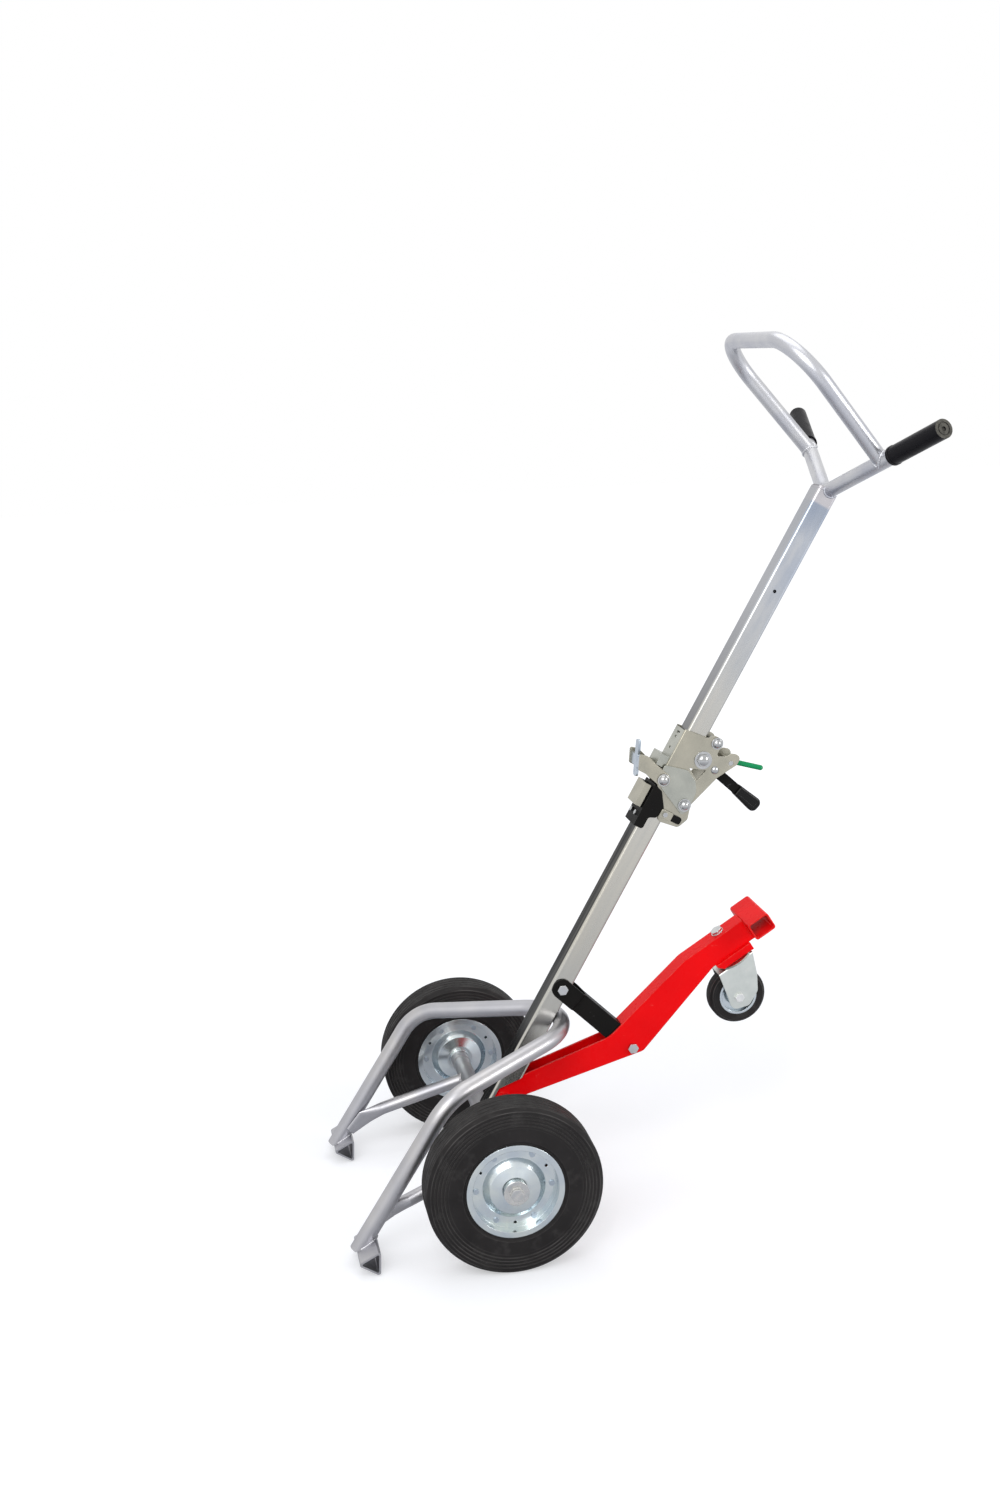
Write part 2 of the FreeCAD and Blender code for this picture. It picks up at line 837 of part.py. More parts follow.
def rim_half(outward):
    # One pressed half of the rim: lip, barrel, bolting ring and dome, round the hub.
    barrel = rim_seat_radius - lay_gap
    inside = barrel - rim_sheet
    lip = tyre_bead_width / 2 + lay_gap
    ring = rim_ring_depth
    top = ring + rim_dome_height
    bore = hub_radius + lay_gap
    slope = rim_dome_radius - rim_dome_flat_radius
    mid_radius = rim_dome_radius - slope * (1 - rim_dome_mid_share)
    mid = ring + rim_dome_height * rim_dome_mid_height_share
    profile = [(0, inside), (0, barrel), (lip, barrel), (lip, rim_lip_radius),
               (lip + rim_sheet, rim_lip_radius), (lip + rim_sheet, inside), (ring, inside),
               (ring, rim_dome_radius), (mid, mid_radius), (top, rim_dome_flat_radius), (top, bore),
               (top - rim_sheet, bore), (top - rim_sheet, rim_dome_flat_radius),
               (mid - rim_sheet, mid_radius), (ring - rim_sheet, rim_dome_radius),
               (ring - rim_sheet, inside)]
    placed = [(wheel_track_half + outward * across, radius) for across, radius in profile]
    half = turned(placed, axle_back, 0)
    for index in range(rim_bolt_count):
        turn = 2 * math.pi * index / rim_bolt_count
        half = half.cut(rim_rod(turn, rim_bolt_radius + bolt_fit, -hub_half_length, hub_half_length))
        between = turn + math.pi / rim_bolt_count
        if index % 2 == 0:
            half = half.cut(rim_rod(between, rim_hole_radius, -hub_half_length, hub_half_length))
    return half


def rim_rod(turn, radius, across_start, across_end):
    back = axle_back + rim_bolt_circle * math.sin(turn)
    height = rim_bolt_circle * math.cos(turn)
    return cross_rod(wheel_track_half + across_start, wheel_track_half + across_end, back, height, radius)


def rim_bolts_left():
    grip = rim_ring_depth
    head = rim_bolt_head_height
    bolts = []
    for index in range(rim_bolt_count):
        turn = 2 * math.pi * index / rim_bolt_count
        shank = rim_rod(turn, rim_bolt_radius, -grip, grip)
        outer = rim_rod(turn, rim_bolt_head_radius, grip, grip + head)
        inner = rim_rod(turn, rim_bolt_head_radius, -grip - head, -grip)
        bolts.append(shank.fuse(outer).fuse(inner).removeSplitter())
    return group(bolts)


def hub_left():
    return cross_sleeve(wheel_track_half - hub_half_length, hub_end(), axle_back, 0, hub_radius,
                        axle_radius + shaft_fit)


# Support arm, stay and step

def arm_outline():
    foot_front = arm_front()
    notch = step_depth - step_proud + lay_gap
    notch_start = arm_end_length - step_width
    places = [(arm_foot_low_back, arm_foot_low_height, 0),
              (foot_front, arm_foot_front_height, arm_corner),
              (foot_front, arm_foot_top_height, arm_corner),
              (arm_inner_back, arm_inner_height, arm_inner_radius),
              back_height(arm_point(-arm_top_bend_before, 0)) + (arm_bend_radius,),
              back_height(arm_point(notch_start, 0)) + (0,),
              back_height(arm_point(notch_start, notch)) + (0,),
              back_height(arm_point(arm_end_length, notch)) + (0,),
              back_height(arm_point(arm_end_length, arm_end_depth)) + (arm_corner,),
              (arm_knee_back, arm_knee_height, arm_bend_radius),
              (arm_elbow_back, arm_elbow_height, arm_elbow_radius)]
    outline = [(back, height) for back, height, radius in places]
    return outline, [radius for back, height, radius in places]


def strip(start, end, half):
    # A straight band in the YZ plane from one place to another.
    way = end.sub(start).normalize()
    side = vec(0, way.z, -way.y) * half
    return [back_height(start.add(side)), back_height(end.add(side)),
            back_height(end.sub(side)), back_height(start.sub(side))]


def support_arm():
    outline, radii = arm_outline()
    solid = plate(outline, radii, -arm_half_width, arm_half_width)
    points = [vec(-arm_inner_half, back, height) for back, height in outline]
    skin = rounded_wire(points, radii, True).makeOffset2D(-arm_sheet)
    hollow = Part.Face(skin).extrude(vec(2 * arm_inner_half, 0, 0))
    arm = solid.cut(hollow)
    # The lower part is open on top and at the foot, the upper part is open underneath.
    foot = vec(0, mast_front, arm_foot_top_height)
    inner = vec(0, arm_inner_back, arm_inner_height)
    run = inner.sub(vec(0, outline[2][0], outline[2][1]))
    opening = strip(foot.sub(run * arm_open_low_share), foot.add(run * arm_open_top_share), 3 * arm_sheet)
    arm = arm.cut(plate(opening, [0] * len(opening), -arm_inner_half, arm_inner_half))
    heel_back = arm_pivot_back + lug_eye_radius + slide_gap
    arm = arm.cut(block(-arm_inner_half, arm_inner_half, mast_front, heel_back, 0, 2 * arm_foot_top_height))
    start, end = stay_ends()
    entry = strip(start, end.sub(end.sub(start).normalize() * stay_taper), stay_half_depth + slide_gap)
    arm = arm.cut(plate(entry, [0] * len(entry), -arm_inner_half, arm_inner_half))
    low = arm_elbow.add(arm_knee.sub(arm_elbow) * arm_open_low_share)
    belly = strip(low, arm_knee, 2 * arm_sheet)
    arm = arm.cut(plate(belly, [0] * len(belly), -arm_inner_half, arm_inner_half))
    end_belly = strip(arm_knee, arm_point(arm_end_length + overrun, arm_end_depth), 2 * arm_sheet)
    arm = arm.cut(plate(end_belly, [0] * len(end_belly), -arm_inner_half, arm_inner_half))
    side = arm_half_width + overrun
    for back, height in ((arm_pivot_back, arm_pivot_height), (stay_arm_back, stay_arm_height)):
        arm = arm.cut(cross_rod(-side, side, back, height, arm_bolt_radius + bolt_fit))
    bolt_top = castor_top.sub(arm_down * overrun)
    return arm.cut(rod(bolt_top, castor_top.add(arm_down * arm_end_depth), castor_bolt_radius + bolt_fit))


def castor_base_plate():
    # A plate under the arm's end with a skirt down each side.
    end = base_plate_start + base_plate_length
    under = arm_end_depth + base_plate_thick
    low = under + base_skirt
    corners = [arm_point(base_plate_start, arm_end_depth), arm_point(end, arm_end_depth),
               arm_point(end, under), arm_point(base_plate_start, under)]
    outline = [back_height(place) for place in corners]
    body = plate(outline, [0] * len(outline), -base_plate_half_width, base_plate_half_width)
    corners = [arm_point(base_plate_start, arm_end_depth), arm_point(end, arm_end_depth),
               arm_point(end, low), arm_point(base_plate_start + base_skirt_chamfer, low),
               arm_point(base_plate_start, under)]
    outline = [back_height(place) for place in corners]
    inside = base_plate_half_width - base_skirt_sheet
    skirt = plate(outline, [0] * len(outline), inside, base_plate_half_width)
    body = body.fuse(skirt).fuse(mirrored(skirt)).removeSplitter()
    hole = rod(arm_point(castor_along, 0), arm_point(castor_along, 2 * arm_end_depth),
               castor_bolt_radius + bolt_fit)
    return body.cut(hole)


def foot_step():
    middle = arm_point(arm_end_length - step_width / 2, step_depth / 2 - step_proud)
    return bar_across(middle, arm_along, arm_down, step_width, step_depth, step_corner, step_wall)


def arm_lugs():
    # Two plates on the axle tube that carry the foot of the arm.
    outer = arm_inner_half - lay_gap
    inner = outer - lug_sheet
    eye = cross_rod(inner, outer, arm_pivot_back, arm_pivot_height, lug_eye_radius)
    ring = cross_rod(inner, outer, axle_back, 0, lug_axle_radius)
    neck = strip(vec(0, axle_back, 0), vec(0, arm_pivot_back, arm_pivot_height), lug_eye_radius)
    lug = eye.fuse(ring).fuse(plate(neck, [0] * len(neck), inner, outer)).removeSplitter()
    lug = lug.cut(cross_rod(0, arm_half_width, axle_back, 0, axle_tube_radius + lay_gap))
    lug = lug.cut(cross_rod(0, arm_half_width, arm_pivot_back, arm_pivot_height, arm_bolt_radius + bolt_fit))
    lug = lug.cut(block(0, arm_half_width, mast_front - lug_axle_radius, mast_front + mast_tongue + lay_gap,
                        0, mitre_back_height))
    return group(both_sides(lug))


def arm_pivot_bolt():
    return cross_bolt(arm_half_width, arm_pivot_back, arm_pivot_height, arm_bolt_radius,
                      arm_bolt_flats, arm_bolt_head)


def stay_ends():
    return vec(0, stay_mast_back, stay_mast_height), vec(0, stay_arm_back, stay_arm_height)


def arm_stay():
    # Ears outside the mast, then a joggle in to a channel that fits inside the arm.
    start, end = stay_ends()
    way = end.sub(start).normalize()
    up = vec(0, -way.z, way.y)
    wide = mast_width / 2 + lay_gap
    narrow = arm_inner_half - lay_gap - stay_sheet
    reach = stay_half_depth
    length = end.sub(start).Length
    plan = [(-reach, wide), (stay_ear_length, wide), (stay_ear_length + stay_joggle_length, narrow),
            (length + reach, narrow), (length + reach, narrow + stay_sheet),
            (stay_ear_length + stay_joggle_length, narrow + stay_sheet),
            (stay_ear_length, wide + stay_sheet), (-reach, wide + stay_sheet)]
    base = start.sub(up * stay_half_depth)
    points = [base.add(way * along).add(vec(across, 0, 0)) for along, across in plan]
    points.append(points[0])
    flange = Part.Face(Part.makePolygon(points)).extrude(up * (2 * stay_half_depth))
    side = wide + stay_sheet + overrun
    rounded = cross_rod(0, side, start.y, start.z, stay_half_depth)
    rounded = rounded.fuse(cross_rod(0, side, end.y, end.z, stay_eye_radius))
    shoulder = end.sub(way * stay_taper)
    depth = up * stay_half_depth
    eye = up * stay_eye_radius
    edges = (start.add(depth), shoulder.add(depth), end.add(eye), end.sub(eye), shoulder.sub(depth),
             start.sub(depth))
    middle = [back_height(place) for place in edges]
    rounded = rounded.fuse(plate(middle, [0] * len(middle), 0, side))
    flange = flange.common(rounded)
    web_start = start.add(way * (stay_ear_length + stay_joggle_length))
    web_end = end.sub(way * stay_web_end_before)
    top = up * (stay_half_depth - stay_sheet / 2)
    web = strip(web_start.add(top), web_end.add(top), stay_sheet / 2)
    body = flange.fuse(mirrored(flange))
    body = body.fuse(plate(web, [0] * len(web), -narrow - lay_gap, narrow + lay_gap))
    for place in (start, end):
        body = body.cut(cross_rod(-side, side, place.y, place.z, arm_bolt_radius + bolt_fit))
    return body


def stay_bolts():
    ear = mast_width / 2 + lay_gap + stay_sheet
    upper = cross_bolt(ear, stay_mast_back, stay_mast_height, arm_bolt_radius, arm_bolt_flats, arm_bolt_head)
    lower = cross_bolt(arm_half_width, stay_arm_back, stay_arm_height, arm_bolt_radius,
                       arm_bolt_flats, arm_bolt_head)
    return group([upper, lower])


# Castor

def castor_place(drop):
    return castor_top.add(arm_down * drop)


def head_step():
    # Depth of the swivel head's wide ring below the top of the arm, just under the skirts.
    return arm_end_depth + base_plate_thick + base_skirt + castor_head_lift


def crown_drop():
    # Depth of the fork crown's top face below the top of the arm.
    return head_step() + castor_ring_height


def castor_bolt():
    up = arm_down * -1
    head = hex_head(castor_top.add(up * washer_thick), up, castor_bolt_flats, castor_bolt_head)
    disc = washer(castor_top, up, castor_bolt_radius + washer_rim, castor_bolt_radius, washer_thick)
    low = crown_drop() + castor_fork_sheet + turn_gap
    shank = rod(castor_top.add(up * washer_thick), castor_place(low), castor_bolt_radius)
    nut = rod(castor_place(low), castor_place(low + washer_thick), castor_bolt_radius + washer_rim)
    return shank.fuse(head).fuse(disc).fuse(nut).removeSplitter()


def castor_head():
    start = arm_end_depth + base_plate_thick
    radius = base_plate_half_width - base_skirt_sheet - castor_head_gap
    disc = rod(castor_place(start), castor_place(head_step()), radius)
    ring = rod(castor_place(head_step()), castor_place(crown_drop() - turn_gap), castor_ring_radius)
    bore = rod(castor_place(0), castor_place(castor_drop), castor_bolt_radius + lay_gap)
    return disc.fuse(ring).cut(bore)


def castor_fork():
    # Two broad cheeks under a flat crown.
    drop = crown_drop()
    cheek_inside = castor_tyre_width / 2 + castor_fork_gap
    cheek_outside = cheek_inside + castor_fork_sheet
    top = castor_place(drop)
    front = top.add(arm_along * castor_fork_top_ahead)
    rear = top.sub(arm_along * castor_fork_top_behind)
    eye = castor_axle_place

    def round_axle(along, down):
        return eye.add(arm_along * along).add(arm_down * down)

    places = [front, round_axle(castor_fork_side_ahead, -castor_fork_side_rise),
              round_axle(castor_fork_low_ahead, castor_fork_low_drop),
              round_axle(castor_fork_bottom_ahead, castor_fork_bottom_drop),
              round_axle(-castor_fork_heel_behind, castor_fork_heel_drop),
              round_axle(-castor_fork_waist_behind, -castor_fork_waist_rise), rear]
    outline = [back_height(place) for place in places]
    radii = [0] + [castor_fork_round] * 5 + [0]
    cheek = plate(outline, radii, cheek_inside, cheek_outside)
    under = arm_down * castor_fork_sheet
    roof = [back_height(place) for place in (front, rear, rear.add(under), front.add(under))]
    bridge = plate(roof, [0] * len(roof), -cheek_outside, cheek_outside)
    fork = bridge.fuse(cheek).fuse(mirrored(cheek)).removeSplitter()
    long_edges = [edge for edge in fork.Edges if edge.Length > castor_fork_top_behind and
                  abs(abs(edge.CenterOfMass.x) - cheek_outside) < lay_gap and
                  abs(edge.CenterOfMass.sub(top).dot(arm_down)) < lay_gap]
    fork = fork.makeFillet(min(castor_fork_corner, castor_fork_sheet - lay_gap), long_edges)
    bore = rod(castor_place(drop - overrun), castor_place(drop + castor_fork_sheet + overrun),
               castor_bolt_radius + shaft_fit)
    fork = fork.cut(bore)
    return fork.cut(cross_rod(-cheek_outside - overrun, cheek_outside + overrun, eye.y, eye.z,
                              castor_axle_radius + bolt_fit))


def castor_axle():
    grip = castor_tyre_width / 2 + castor_fork_gap + castor_fork_sheet
    return cross_bolt(grip, castor_axle_place.y, castor_axle_place.z, castor_axle_radius,
                      castor_axle_flats, castor_axle_head)


def castor_hub():
    outer = castor_radius - castor_tyre_depth - lay_gap
    bore = castor_axle_radius + shaft_fit
    half = castor_tyre_width / 2
    web = castor_hub_web / 2
    lip = outer - castor_hub_lip
    end = half + castor_fork_gap - castor_hub_end_gap
    right_side = [(end, bore), (end, castor_hub_radius), (web, castor_hub_radius + castor_hub_lip),
                  (web, lip), (half, lip), (half, outer)]
    left_side = [(-across, radius) for across, radius in reversed(right_side)]
    return turned(right_side + left_side, castor_axle_place.y, castor_axle_place.z)


def castor_tyre():
    inner = castor_radius - castor_tyre_depth
    half = castor_tyre_width / 2
    shoulder = castor_radius - castor_tyre_depth / 3
    right_side = [(half, inner), (half, shoulder), (half / 2, castor_radius)]
    left_side = [(-across, radius) for across, radius in reversed(right_side)]
    return turned(right_side + left_side, castor_axle_place.y, castor_axle_place.z)


# Rim clamp

def behind(reach, rise):
    # A place behind the mast, at a rise above the hook pivots.
    return mast_back + reach, clamp_height + rise


def ahead(reach, rise):
    # A place ahead of the mast's front face, at a rise above the hook pivots.
    return mast_front - reach, clamp_height + rise


def top_bolt():
    return behind(top_bolt_behind, top_bolt_rise)


def big_bolt():
    return behind(big_bolt_behind, big_bolt_rise)


def low_bolt():
    return behind(low_bolt_behind, -low_bolt_drop)


def hook_pivot():
    return ahead(hook_pivot_ahead, 0)


def lever_pivot():
    return behind(lever_pivot_behind, lever_pivot_rise)


def release_pivot():
    return behind(release_pivot_behind, release_pivot_rise)


def plate_hole(place, radius):
    back, height = place
    return cross_rod(0, 2 * cheek_outer, back, height, radius)


def buffer_outline(gap):
    front, top = behind(buffer_behind - gap, -buffer_drop + gap)
    back, low = behind(buffer_behind + buffer_depth + gap, -buffer_drop - buffer_height - gap)
    return [(front, low), (back, low), (back, top), (front, top)]


def side_plate_left():
    # The inner plate: a wall beside the mast, a fork behind it for the levers, and a rounded foot.
    outline = [(-plate_front, clamp_height - plate_front_low_drop),
               (-plate_front, clamp_height + plate_top_rise), behind(0, plate_back_top_rise),
               behind(top_bolt_behind - lobe_reach, top_bolt_rise + lobe_reach),
               behind(top_bolt_behind + lobe_reach, top_bolt_rise + lobe_reach),
               behind(fork_root_behind, fork_root_rise), behind(fork_neck_behind, fork_neck_rise),
               behind(fork_tip_start_behind, fork_tip_start_rise),
               behind(fork_tip_behind, fork_tip_top_rise), behind(fork_tip_behind, fork_tip_low_rise),
               behind(plate_heel_behind, plate_heel_rise), behind(plate_hollow_behind, -plate_hollow_drop),
               behind(plate_bulge_behind, -plate_bulge_drop), behind(plate_foot_behind, -plate_foot_drop),
               behind(plate_toe_behind, -plate_toe_drop), ahead(plate_waist_ahead, -plate_waist_drop)]
    small = plate_round / 2
    radii = ([0, 0, small] + [plate_round] * 2 + [small] * 3 + [plate_round] * 2 + [2 * plate_round]
             + [plate_round] * 5)
    body = plate(outline, radii, plate_inner, cheek_inner)
    fold = [edge for edge in body.Edges if abs(edge.CenterOfMass.x - cheek_inner) < lay_gap and
            abs(edge.CenterOfMass.y + plate_front) < lay_gap]
    body = body.makeFillet(min(plate_fold_radius, plate_thick - lay_gap), fold)
    wedge = [behind(wedge_front_behind, wedge_front_rise), behind(wedge_back_behind, wedge_back_rise),
             behind(wedge_low_behind, wedge_low_rise)]
    body = body.cut(plate(wedge, [0] * len(wedge), 0, cheek_outer))
    slot = buffer_outline(lay_gap)
    body = body.cut(plate(slot, [buffer_round] * len(slot), 0, cheek_outer))
    for place in (top_bolt(), big_bolt(), low_bolt()):
        body = body.cut(plate_hole(place, through_bolt_radius + bolt_fit))
    body = body.cut(plate_hole(lever_pivot(), lever_pin_radius + bolt_fit))
    return body.cut(plate_hole(release_pivot(), release_pin_radius + bolt_fit))


def jaw_cheek_left():
    # The outer plate, which carries the hook's pivot.
    outline = [ahead(cheek_front_ahead, cheek_front_rise), behind(cheek_top_behind, cheek_top_rise),
               behind(cheek_shoulder_behind, cheek_shoulder_rise),
               behind(cheek_back_behind, cheek_back_rise), behind(cheek_foot_behind, -cheek_foot_drop),
               behind(cheek_low_behind, -cheek_low_drop),
               ahead(cheek_waist_ahead, -cheek_waist_drop), ahead(cheek_front_ahead, -cheek_chin_drop)]
    small = cheek_round / 2
    radii = [small, cheek_round, cheek_round, 2 * cheek_round, cheek_round, small, cheek_round, cheek_round]
    body = plate(outline, radii, cheek_inner, cheek_outer)
    body = body.cut(plate_hole(low_bolt(), through_bolt_radius + bolt_fit))
    return body.cut(plate_hole(hook_pivot(), hook_pivot_radius + bolt_fit))


def strap_low():
    return clamp_height + plate_top_rise - overrun - strap_length


def carriage_strap():
    # The front wall between the side plates, with three slots and a stop block at its foot.
    low = strap_low()
    inside = -plate_front + strap_thick
    strap = block(-plate_inner, plate_inner, -plate_front, inside, low, low + strap_length)
    for share in strap_slot_shares:
        middle = low + share * strap_length
        slot = block(-strap_slot_width / 2, strap_slot_width / 2, -plate_front - overrun, inside + overrun,
                     middle - strap_slot_height / 2, middle + strap_slot_height / 2)
        strap = strap.cut(slot)
    foot = block(-plate_inner, plate_inner, -plate_front - stop_block_depth, inside,
                 low - stop_block_height, low)
    return strap.fuse(foot)


def front_glide():
    low = strap_low() + overrun
    return block(-mast_width / 2, mast_width / 2, -plate_front + strap_thick, mast_front - slide_gap,
                 low, low + glide_length)


def rear_glide():
    front = mast_back + slide_gap
    low = clamp_height - rear_glide_length / 2
    return block(-plate_inner, plate_inner, front, front + rear_glide_thick, low, low + rear_glide_length)


def carriage_spacers():
    spacers = []
    for back, height in (top_bolt(), big_bolt(), low_bolt()):
        spacers.append(cross_sleeve(-plate_inner, plate_inner, back, height, spacer_radius,
                                    through_bolt_radius + lay_gap))
    return group(spacers)


def domed_head(base, outward):
    return dome(base, outward, top_dome_radius, dome_height)


def cap_nut(base, outward, flats):
    # A hexagon with a low dome on its end.
    top = base.add(outward * cap_nut_height)
    cap = dome(top, outward, flats * cap_nut_dome_share, cap_nut_dome_height)
    return hex_head(base, outward, flats, cap_nut_height).fuse(cap)


def washer_bolt(half, place, rim, head, *sizes):
    # A bolt right across the clamp with a washer and the given head at each end.
    back, height = place
    bolt = cross_rod(-half - washer_thick, half + washer_thick, back, height, through_bolt_radius)
    for side in (1, -1):
        base = vec(side * half, back, height)
        outward = vec(side, 0, 0)
        bolt = bolt.fuse(washer(base, outward, rim, through_bolt_radius, washer_thick))
        bolt = bolt.fuse(head(base.add(outward * washer_thick), outward, *sizes))
    return bolt.removeSplitter()


def carriage_bolts():
    return group([washer_bolt(cheek_inner, top_bolt(), top_dome_radius + washer_thick, domed_head),
                  washer_bolt(cheek_inner, big_bolt(), big_washer_radius, cap_nut, big_nut_flats),
                  washer_bolt(cheek_outer, low_bolt(), low_washer_radius, cap_nut, low_nut_flats)])


def pad_bracket():
    # A black channel across the front of the mast, with a wing on each side.
    outside = cheek_inner + bracket_sheet
    top = clamp_height - bracket_top_drop
    low = top - bracket_length
    wing = [(-bracket_front, top), ahead(bracket_shoulder_ahead, -bracket_shoulder_drop),
            ahead(bracket_wing_ahead, -bracket_wing_drop),
            ahead(bracket_wing_ahead + bracket_round, -bracket_wing_drop - bracket_wing_length),
            ahead(bracket_tail_ahead, -bracket_tail_drop), (mast_front - bracket_tail_ahead, low),
            (-bracket_front, low)]
    radii = [0] + [bracket_round] * 5 + [0]
    side = plate(wing, radii, cheek_inner, outside)
    front = block(-outside, outside, -bracket_front, -bracket_front + bracket_sheet, low, top)
    return front.fuse(side).fuse(mirrored(side)).removeSplitter()


def pad_top():
    return clamp_height - pad_top_drop


def rim_pad():
    return block(-pad_half_width, pad_half_width, -bracket_front - pad_depth, -bracket_front,
                 pad_top() - pad_height, pad_top())


def pad_plate():
    front = -bracket_front - pad_depth
    low = pad_top() - pad_height
    face = block(-pad_half_width, pad_half_width, front - pad_plate_thick, front, low, pad_top())
    lip = block(pad_half_width, pad_half_width + pad_plate_thick, front - pad_plate_thick,
                front + pad_plate_lip, low, pad_top())
    return face.fuse(lip).fuse(mirrored(lip)).removeSplitter()


def clip_outside():
    return cheek_inner + bracket_sheet + clip_thick


def clip_place():
    # Front edge and middle height of the clips that hold the buffer's ends.
    back, height = behind(buffer_behind + clip_lap - clip_depth, -buffer_drop - buffer_height / 2)
    return back, height


def buffer_clips():
    front, middle = clip_place()
    low = middle - clip_height / 2
    top = middle + clip_height / 2
    outline = [(front, low), (front + clip_depth, low), (front + clip_depth, top), (front, top)]
    corner = clip_thick
    clip = plate(outline, [corner] * len(outline), clip_outside() - clip_thick, clip_outside())
    return group(both_sides(clip))


def clamp_screws():
    # Small hexagon screws: one on each clip, two below the pad.
    front, middle = clip_place()
    side = vec(clip_outside(), front + screw_flats, middle)
    clip = hex_head(side, vec(1, 0, 0), screw_flats, screw_head)
    below = vec(pad_screw_reach, -bracket_front, pad_top() - pad_height - pad_screw_drop)
    pad = hex_head(below, vec(0, -1, 0), screw_flats, screw_head)
    return group(both_sides(clip) + both_sides(pad))


def buffer_block():
    # A rubber bar right through both side plates, behind the mast.
    outline = buffer_outline(0)
    outside = cheek_inner + bracket_sheet
    return plate(outline, [buffer_round] * len(outline), -outside, outside)


# Rim hook

def hook_place(reach, rise):
    back, height = hook_pivot()
    return back - reach, height + rise


def hook_arm_left():
    inner = cheek_outer + turn_gap
    back, height = hook_pivot()
    eye = cross_rod(inner, inner + hook_sheet, back, height, hook_eye_radius)
    outline = [hook_place(0, hook_eye_radius), hook_place(hook_back_reach, hook_back_rise),
               hook_place(hook_crest_reach, hook_crest_rise), hook_place(hook_nose_reach, hook_nose_rise),
               hook_place(hook_chin_reach, -hook_chin_drop),
               hook_place(hook_throat_reach, -hook_throat_drop), hook_place(0, -hook_eye_radius)]
    small = hook_round / 2
    radii = [0, hook_round, 2 * hook_round, small, small, hook_round, 0]
    arm = plate(outline, radii, inner, inner + hook_sheet).fuse(eye).removeSplitter()
    return arm.cut(plate_hole(hook_pivot(), hook_pivot_radius + shaft_fit))


def hook_blade():
    # A finger that drops inside the drum's rim, on a band from arm to arm.
    half = cheek_outer + turn_gap
    top = vec(0, *hook_place(blade_top_reach, blade_top_rise))
    run = vec(0, *hook_place(blade_low_reach, -blade_low_drop)).sub(top)
    start, end = blade_band_start_share, blade_band_end_share
    side = [(blade_half, 0), (blade_half, start), (half, start), (half, end), (blade_half, end),
            (blade_half, 1)]
    corners = side + [(-reach, share) for reach, share in reversed(side)]
    points = [top.add(run * share).add(vec(reach, 0, 0)) for reach, share in corners]
    root = blade_corner / 2
    radii = [blade_corner, root, 0, 0, root, blade_corner]
    face = Part.Face(rounded_wire(points, radii + radii[::-1], True))
    way = run.normalize()
    return face.extrude(vec(0, way.z, -way.y) * blade_thick)


def hook_pivots():
    outer = cheek_outer + turn_gap + hook_sheet + turn_gap
    back, height = hook_pivot()
    pin = cross_rod(cheek_inner, outer + washer_thick, back, height, hook_pivot_radius)
    base = vec(outer, back, height)
    disc = washer(base, vec(1, 0, 0), hook_dome_radius + washer_thick, hook_pivot_radius, washer_thick)
    cap = dome(base.add(vec(washer_thick, 0, 0)), vec(1, 0, 0), hook_dome_radius, dome_height)
    return group(both_sides(pin.fuse(disc).fuse(cap).removeSplitter()))


# Clamp lever

def lever_place(along):
    fall = math.radians(lever_fall_deg)
    back, height = lever_pivot()
    return vec(0, back + along * math.cos(fall), height - along * math.sin(fall))


def lever_arm():
    pivot = lever_place(0)
    root = cross_rod(-lever_half_thick, lever_half_thick, pivot.y, pivot.z, lever_root_radius)
    outline = strip(pivot, lever_place(lever_length), lever_half_depth)
    bar = plate(outline, [0] * len(outline), -lever_half_thick, lever_half_thick)
    boss_half = plate_inner - turn_gap
    boss = cross_rod(-boss_half, boss_half, pivot.y, pivot.z, lever_root_radius - overrun)
    arm = bar.fuse(root).fuse(boss).removeSplitter()
    return arm.cut(cross_rod(-cheek_outer, cheek_outer, pivot.y, pivot.z, lever_pin_radius + shaft_fit))


def lever_grip():
    start = lever_place(lever_grip_start)
    end = lever_place(lever_grip_start + lever_grip_length)
    way = end.sub(start).normalize()
    side = vec(0, way.z, -way.y)
    corners = [start.add(side * lever_grip_neck_half), end.add(side * lever_grip_end_half),
               end.sub(side * lever_grip_end_half), start.sub(side * lever_grip_neck_half)]
    outline = [back_height(place) for place in corners]
    tip = lever_grip_end_half * lever_grip_tip_share
    body = plate(outline, [0, tip, tip, 0], -lever_grip_half_thick, lever_grip_half_thick)
    outer = [edge for edge in body.Edges if abs(abs(edge.CenterOfMass.x) - lever_grip_half_thick) < lay_gap]
    body = body.makeFillet(lever_grip_round, outer)
    # A shallow panel on each flat side.
    panel = strip(start.add(way * lever_panel_margin), end.sub(way * lever_panel_margin), lever_panel_half)
    recess = plate(panel, [0] * len(panel), lever_grip_half_thick - lever_panel_depth,
                   lever_grip_half_thick + overrun)
    body = body.cut(recess).cut(mirrored(recess))
    pocket = strip(lever_place(0), lever_place(lever_length), lever_half_depth)
    return body.cut(plate(pocket, [0] * len(pocket), -lever_half_thick, lever_half_thick))


def pivot_pins():
    # The lever's pin has a small dome at each end, and the release lever's pin ends flush.
    back, height = lever_pivot()
    pin = cross_rod(-cheek_inner, cheek_inner, back, height, lever_pin_radius)
    for side in (1, -1):
        base = vec(side * cheek_inner, back, height)
        pin = pin.fuse(dome(base, vec(side, 0, 0), lever_pin_dome_radius, pin_head_height))
    back, height = release_pivot()
    flush = cross_rod(-cheek_inner, cheek_inner, back, height, release_pin_radius)
    return group([pin.removeSplitter(), flush])


# Release lever

def release_place(along):
    rise = math.radians(release_rise_deg)
    back, height = release_pivot()
    return vec(0, back + along * math.cos(rise), height + along * math.sin(rise))


